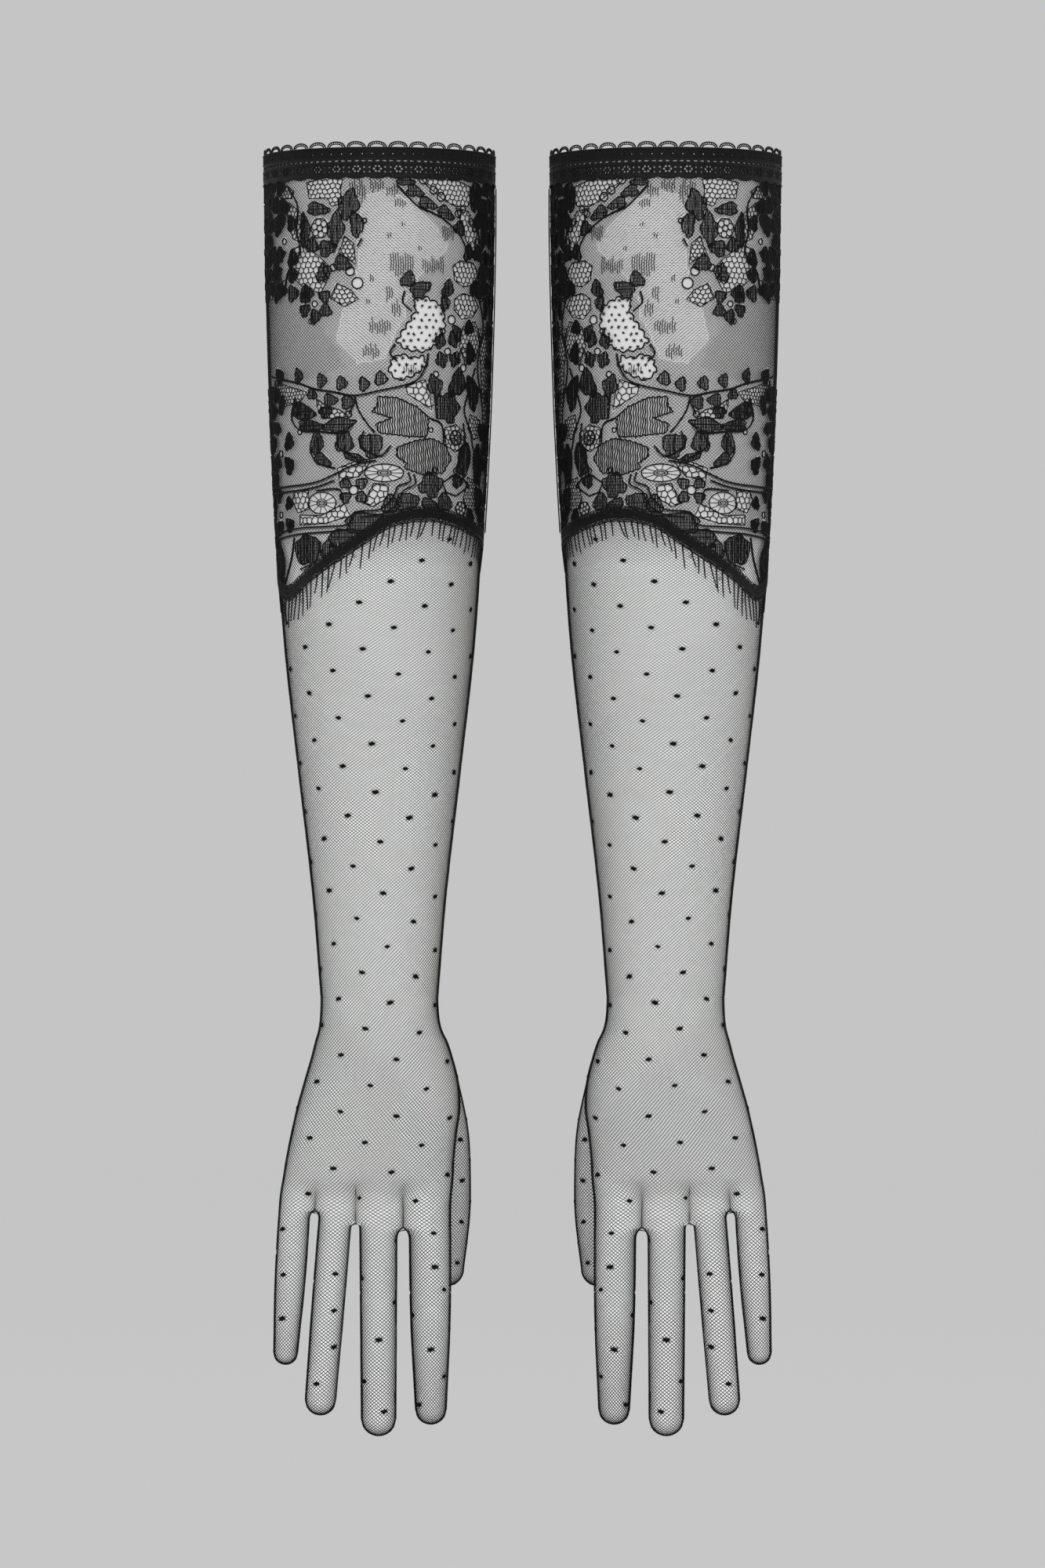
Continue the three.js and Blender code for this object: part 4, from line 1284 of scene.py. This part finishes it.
def bandUnit(wide):
    # one repeat of the band: an outline with a scalloped foot, eyelets and a flower of holes
    tall = band["height"]
    foot = [(x, tall + band["foot"] * math.sin(math.pi * x / wide)) for x in np.linspace(0, wide, 10)]
    rails = np.linspace(0, tall, 13)
    outline = ([(x, 0) for x in np.linspace(0, wide, 10)] + [(wide, y) for y in rails[1:-1]]
               + foot[::-1] + [(0, y) for y in rails[-2:0:-1]])
    cuts = [oval(x, y, w, h, count=10) for x, y, w, h in band["dashes"]]
    x0, y0, ring, radius, count = band["flower"]
    cuts += [oval(x0 + ring * math.cos(a), y0 + ring * .82 * math.sin(a), radius, radius, count=8)
             for a in np.linspace(0, 2 * math.pi, count, endpoint=False)]
    cuts += [oval(x, y, r, r, count=8) for x, y, r in band["pins"]]
    cuts += [oval(x, y, w, h, count=8) for x, y, w, h in band["slits"]]
    points, edges, faces = [], [], []
    for shape in [outline, *cuts]:
        start = len(points)
        points += [Vector(p) for p in shape]
        edges += [(start + n, start + (n + 1) % len(shape)) for n in range(len(shape))]
        faces.append(list(range(start, len(points))))
    for x in np.arange(band["step"], wide - .3, band["step"]):
        for y in np.arange(band["step"], tall, band["step"]):
            at = np.array([x, y])
            if not any(np.min(np.hypot(*(c - at).T)) < band["room"] or pointsIn(c, at) for c in cuts):
                points.append(Vector(at))
    made = delaunay_2d_cdt(points, edges, [], 0, 1e-5)
    vertices = np.array([tuple(v) for v in made[0]])
    middles = np.array([vertices[list(f)].mean(0) for f in made[2]])
    kept = pointsIn(np.array(outline), middles)
    for c in cuts:
        kept &= ~pointsIn(c, middles)
    return vertices, [f for f, k in zip(made[2], kept) if k]


def ringPoint(x, drop, offset):
    # a point on the band for a distance round it, starting in the middle of the back
    turn = x / bandRound * 4
    angle = np.where(turn > 2, -1, 1) * angleAt((1 - np.abs(np.mod(turn, 4) - 2)) * halfCloth(drop), drop)
    return skin(angle, drop, offset)


def buildBand():
    vertices, faces = bandUnit(unitWide)
    points, polygons = [], []
    for n in range(band["units"]):
        flat = vertices + [n * unitWide, 0]
        bulge = .12 * np.sin(flat[:, 1] * 2.4) * np.sin(flat[:, 0] * 2.8)
        points.append(ringPoint(flat[:, 0], flat[:, 1], band["inside"] + band["wall"] + bulge))
        polygons += [[v + n * len(vertices) for v in f] for f in faces]
    mesh = bpy.data.meshes.new("band")
    mesh.from_pydata((np.concatenate(points) * mm).tolist(), [], polygons)
    work = bmesh.new()
    work.from_mesh(mesh)
    bmesh.ops.remove_doubles(work, verts=work.verts, dist=.02 * mm)
    bmesh.ops.recalc_face_normals(work, faces=work.faces)
    if sum(f.normal.xy.dot(f.calc_center_median().xy) for f in work.faces) < 0:
        bmesh.ops.reverse_faces(work, faces=work.faces)
    work.to_mesh(mesh)
    work.free()
    holder = bpy.data.objects.new("band", mesh)
    scene.collection.objects.link(holder)
    thickness = holder.modifiers.new("wall", "SOLIDIFY")
    thickness.thickness, thickness.offset = band["wall"] * mm, -1
    solid = bpy.data.meshes.new_from_object(holder.evaluated_get(bpy.context.evaluated_depsgraph_get()))
    bpy.data.objects.remove(holder)
    return solid


def numbered(parts):
    # threads given as (points in space, thickness), with a chain number for each
    return (np.concatenate([np.asarray(p, float) for p, t in parts]),
            np.concatenate([np.full(len(p), n) for n, (p, t) in enumerate(parts)]),
            np.concatenate([np.ones(len(p)) * t for p, t in parts]))


def onBand(parts):
    # threads given as (points of distance round, drop and offset, thickness)
    return numbered([(ringPoint(*np.asarray(line, float).T), thick) for line, thick in parts])


bandRound = 4 * float(halfCloth(0))
unitWide = bandRound / band["units"]
bothGloves("band", buildBand(), finishes["bandThread"], onSleeves)

picot = {"rise": 2.3, "wide": .88, "thick": .36, "rungs": 9, "inset": .95, "rung": .27, "foot": .3}


def picotThreads():
    made = []
    for n in range(band["units"]):
        middle = (n + .5) * unitWide
        half = unitWide * picot["wide"] / 2
        t = np.linspace(0, math.pi, 13)
        lean = rng.normal(0, .12)

        def arch(t, inset):
            high = picot["foot"] - (picot["rise"] + picot["foot"] - inset) * np.sin(t) ** .8
            along_ = middle + lean * np.sin(t) - (half - inset) * np.cos(t)
            return np.stack([along_, high, .8 + 0 * t], -1)

        for inset, thick in ((0, picot["thick"]), (picot["inset"], picot["thick"] * .75)):
            made.append((arch(t, inset), thick))
        for a in np.linspace(.35, math.pi - .35, picot["rungs"]):
            made.append(([arch(a, -.05), arch(a, picot["inset"] + .1)], picot["rung"]))
    return made


def bandThreads():
    # raised cords along the band and round its flowers
    made = []
    x = np.arange(0, bandRound + .6, .9)
    for drop, thick, wave in band["cords"]:
        made.append((np.stack([x, drop + wave * np.sin(x * 2.3), np.full(len(x), 1.28)], 1), thick))
    made.append((np.stack([x, band["height"] + band["foot"] * np.abs(np.sin(np.pi * x / unitWide)) - .15,
                           np.full(len(x), 1.15)], 1), .34))
    for n in range(band["units"]):
        for r, thick in ((2.25, .22), (.8, .16)):
            ring = oval(n * unitWide + band["flower"][0], band["flower"][1], r, r * .82, count=16)
            ring = np.concatenate([ring, ring[:1]])
            made.append((np.column_stack([ring, np.full(len(ring), 1.25)]), thick))
        for k in range(7):
            at = (n + k / 7) * unitWide
            made.append(([(at, .4, 1.24), (at + .7, 2.3, 1.27), (at, 4.3, 1.24)], .15))
    return made


threadPiece("picots", "bandThread", onSleeves, *onBand(picotThreads()))
threadPiece("band_cords", "bandThread", onSleeves, *onBand(bandThreads()))

# ---- scalloped border, fringe and cuff seam

border = {
    "offset": .78,
    "rows": [(6.6, .2), (5.9, .24), (5.2, .34), (4.7, .38), (4.2, .4), (3.7, .4), (3.2, .4), (2.7, .4),
             (2.2, .38), (1.7, .34), (.9, .24), (.1, .3)],  # rise above the edge and thickness
    "cross": .8, "crossThick": .19, "radius": 46,
}
fringe = {
    "pitch": 3.1, "short": 5.2, "long": 12.0, "thick": .42, "offset": .62,
    "shallow": 159.5, "fall": 33,  # the drops between which the threads grow longer
}
cuffSeam = {"half": 2.1, "pitch": .95, "thick": .16, "edge": .24, "offset": 1.45, "radius": 48, "top": 14}


def borderThreads():
    made = []
    angle = np.radians(np.arange(0, 360.1, 1.5))
    edge = scallopDrop(angle)
    for rise, thick in border["rows"]:
        wobble = rng.normal(0, .1, len(angle))
        wobble[-1] = wobble[0]
        made.append((skin(angle, edge - rise + wobble, border["offset"] + rng.uniform(-.1, .15)), thick))
    angle = np.arange(0, 2 * math.pi, border["cross"] / border["radius"])
    for n, a in enumerate(angle):
        lean = (.025, -.025)[n % 2]
        a3 = a + lean * np.array([-1, 0, 1]) + rng.normal(0, .004)
        made.append((skin(a3, scallopDrop(a3) - np.array([6.7, 3.2, .1]), border["offset"] + .1),
                     border["crossThick"]))
    return made


def fringeThreads():
    made = []
    a = 0.0
    while a < 2 * math.pi - .03:
        edge = scallopDrop(np.array([a]))[0]
        low = (edge - fringe["shallow"]) / fringe["fall"]
        more = (fringe["long"] - fringe["short"]) * (.35 + .6 * low) * rng.uniform(.5, 1.4)
        length = min(fringe["short"] + more, fringe["long"])
        drift, curl = rng.normal(.16, .1), rng.normal(0, .08)
        s = np.linspace(0, 1, 6)
        angle = a + (drift * s + curl * s * s) * length / border["radius"]
        drop = edge - .6 + length * s
        lift = fringe["offset"] - .2 * s + .1 * np.sin(s * 5 + a * 9)
        made.append((skin(angle, drop, lift), fringe["thick"] * (1 - .35 * s)))
        a += fringe["pitch"] * rng.uniform(.6, 1.35) / border["radius"]
    return made


def cuffSeamThreads():
    made = []
    end = float(scallopDrop(np.array([0.0]))[0]) - 6.5
    drops = np.arange(cuffSeam["top"], end, cuffSeam["pitch"])
    reach = cuffSeam["half"] / cuffSeam["radius"]
    sway = np.where(np.arange(len(drops)) % 2 == 0, -reach, reach)
    made.append((skin(sway, drops, cuffSeam["offset"]), cuffSeam["thick"]))
    made.append((skin(-sway, drops + .2, cuffSeam["offset"]), cuffSeam["thick"]))
    fine = np.arange(cuffSeam["top"], end, 1.6)
    for a, thick in ((-reach, cuffSeam["edge"]), (reach, cuffSeam["edge"]), (0, cuffSeam["edge"] * 1.2)):
        made.append((skin(a + rng.normal(0, .001, len(fine)), fine, cuffSeam["offset"]), thick))
    return made


threadPiece("border", "laceCord", onSleeves, *numbered(borderThreads()))
threadPiece("fringe", "laceCord", onSleeves, *numbered(fringeThreads()))
threadPiece("cuff_seam", "seamThread", onSleeves, *numbered(cuffSeamThreads()))

spread = np.stack(np.meshgrid(np.arange(-80, 80, .5), np.arange(lace["top"], 195, .5)), -1)
for name, side in (("back", 1), ("inner", -1)):
    half, edge = halfCloth(spread[..., 1]), scallopDrop(angleAt(spread[..., 0], spread[..., 1]) * side)
    held = spread[(np.abs(spread[..., 0]) < half) & (spread[..., 1] < edge)]
    declareSheet(f"lace_{name}", len(held) * .25, float(np.ptp(held[:, 1])),
                 [f"lace_motifs_{name}"] + (["border", "fringe", "cuff_seam"] if side == 1 else []))

# ---- seams of the net

seam = {"step": .55, "ply": .17, "twist": 1.9, "spread": .17, "offset": .05}


def twoPly(path):
    # two strands twisted round a path
    path = np.asarray(path, float)
    steps = runs(path)
    fine = np.arange(0, steps[-1], seam["step"])
    line = np.stack([np.interp(fine, steps, path[:, c]) for c in range(3)], 1)
    tangent = np.gradient(line, axis=0)
    tangent /= np.maximum(np.linalg.norm(tangent, axis=1), 1e-9)[:, None]
    e1 = np.cross(tangent, (0, 1, 0))
    e1 /= np.maximum(np.linalg.norm(e1, axis=1), 1e-9)[:, None]
    e2 = np.cross(tangent, e1)
    turn = fine / seam["twist"] * 2 * math.pi
    around = np.cos(turn)[:, None] * e1 + np.sin(turn)[:, None] * e2
    return [(line + sign * seam["spread"] * around, seam["ply"]) for sign in (1, -1)]


def fingerLoop(k, start):
    # down the thumb side of a finger, round its tip and back up
    f = fingers[fingerNames[k]]
    dome = webDrop + f["tip"] - f["widths"][2]
    low, high = shareEdges[k] + 1e-5, shareEdges[k + 1] - 1e-5
    down = np.arange(start, dome, 1.5)
    phi = np.linspace(math.pi / 2, -math.pi / 2, 17)
    over = np.sqrt(np.maximum((math.pi / 2) ** 2 - phi ** 2, 0)) * f["widths"][2]
    share = shareEdges[k] + (phi / math.pi + .5) * (shareEdges[k + 1] - shareEdges[k])
    return np.concatenate([clothPoint(high, down, 1, seam["offset"]),
                           clothPoint(np.clip(share, low, high), dome + over, 1, seam["offset"]),
                           clothPoint(low, down[::-1], 1, seam["offset"])])


def webLoop(w):
    # from one finger up to the web and down the next
    left, right = cutDrops[fingerNames[w]], cutDrops[fingerNames[w + 1]]
    edge, top = shareEdges[w + 1], hand["webs"][w][1]
    return np.concatenate([clothPoint(edge - 1e-5, np.arange(left, top, -1.0), 1, seam["offset"]),
                           clothPoint(edge + 1e-5, np.arange(top + .4, right, 1.0), 1, seam["offset"])])


def thumbLoop():
    # where the thumb's cloth meets the palm's
    made = []
    drops = np.arange(thumbTop, thumbTip, .5)
    for turn in np.linspace(0, 2 * math.pi, 73):
        line = thumbPoint(turn, drops, seam["offset"])
        out = ~insidePalm(line, .1)
        if out.any() and not out.all():
            made.append(line[np.argmax(out)])
    return np.array(made)


def sideSeam(share, start, end, step, offset=seam["offset"]):
    return clothPoint(share, np.arange(start, end, step), 1, offset)


def thumbSeam(turn, start, end):
    return thumbPoint(turn, np.arange(thumbTop + start, thumbTip + end, 1.5), seam["offset"])


seamPaths = {
    "forearm": [sideSeam(share, float(scallopDrop(np.array([angle]))[0]) - 4, wristDrop + .5, 2.0, .1)
                for share, angle in ((1, 0.0), (-1, math.pi))],
    "hand": [sideSeam(1, wristDrop - .5, cutDrops["index"], 1.5),
             sideSeam(-1, wristDrop - .5, cutDrops["little"], 1.5), *[webLoop(w) for w in range(3)]],
    **{name: [fingerLoop(k, cutDrops[name] - .3)] for k, name in enumerate(fingerNames)},
    "thumb": [thumbLoop(), thumbSeam(math.pi, 40, 9), thumbSeam(-.35, 14, 10)],
}
for zone, paths in seamPaths.items():
    threadPiece(f"{zone}_seam", "seamThread", bends[zone],
                *numbered([part for path in paths for part in twoPly(path)]))
print("seams made")

# ---- light, backdrop and floor

studio = {
    "grey": (.04, .04, .04), "floorDrop": 660.0, "back": 3900.0, "wide": 9000.0, "front": 6000.0,
    "bend": 900.0, "tall": 9000.0, "sky": .62, "paperGlow": 13.25,
    "lamps": [("frontLamp", 58.0, 1.6, (0, -3.2, .3)), ("leftLamp", 9.0, 1.2, (-2.4, .2, .4)),
              ("rightLamp", 9.0, 1.2, (2.4, .2, .4)), ("backLamp", 9.0, 1.0, (0, 1.3, .9))],
}


def buildStudio():
    # floor and backdrop in one sweep
    bend = np.linspace(0, math.pi / 2, 14)
    back, radius = studio["back"], studio["bend"]
    line = [(-studio["front"], 0)]
    line += [(back + radius * math.sin(a), radius * (1 - math.cos(a))) for a in bend]
    line.append((back + radius, studio["tall"]))
    rows = np.array([[(x, y, z - studio["floorDrop"]) for x in (-studio["wide"], studio["wide"])]
                     for y, z in line])
    mesh = gridMesh("backdrop", rows)
    mesh.flip_normals()
    mesh.polygons.foreach_set("use_smooth", [True] * len(mesh.polygons))
    grey = studio["grey"]
    mesh.materials.append(paleFinish("backdropPaper", grey, grey, (0, -1), studio["paperGlow"]))
    sweep = bpy.data.objects.new("backdrop", mesh)
    scene.collection.objects.link(sweep)
    world = bpy.data.worlds.new("studio")
    scene.world = world
    world.use_nodes = True
    world.node_tree.nodes["Background"].inputs["Color"].default_value = (1, 1, 1, 1)
    world.node_tree.nodes["Background"].inputs["Strength"].default_value = studio["sky"]
    for name, power, size, place in studio["lamps"]:
        lamp = bpy.data.lights.new(name, "AREA")
        lamp.energy, lamp.size = power, size
        holder = bpy.data.objects.new(name, lamp)
        holder.location = place
        holder.rotation_euler = (Vector((0, 0, -.3)) - Vector(place)).to_track_quat("-Z", "Y").to_euler()
        holder.visible_camera = False
        scene.collection.objects.link(holder)


buildStudio()

# ---- what stands for the part's own solids

standsFor = {
    "forearm_net_back": ["sleeve_back_panel"], "forearm_net_palm": ["sleeve_palm_panel", "wrist_net"],
    "hand_net_back": ["hand_back_panel"], "hand_net_palm": ["hand_palm_panel"],
    "thumb_net": ["thumb_stall"], "lace_back": ["lace_cuff"], "band": ["elastic_band"],
    "picots": ["picot_edging"], "border": ["scallop_border"], "fringe": ["eyelash_fringe"],
    "cuff_seam": ["cuff_seam_tape"], "forearm_seam": ["thumb_side_seam", "little_side_seam"],
    **{f"{n}_net_back": [f"{n}_stall"] for n in fingers},
}
slots = (("_net", "net"), ("_dots", "net"), ("lace", "lace"), ("border", "lace_cord"),
         ("fringe", "lace_cord"), ("seam", "seam_thread"), ("band", "band_elastic"),
         ("picots", "band_elastic"))
for side, pieces in glovePieces.items():
    for name, nodes in standsFor.items():
        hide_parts(*[f"{side}_{n}" for n in nodes])
    for name, piece in pieces.items():
        for word, slot in slots:
            if word in name:
                break

print("finished")
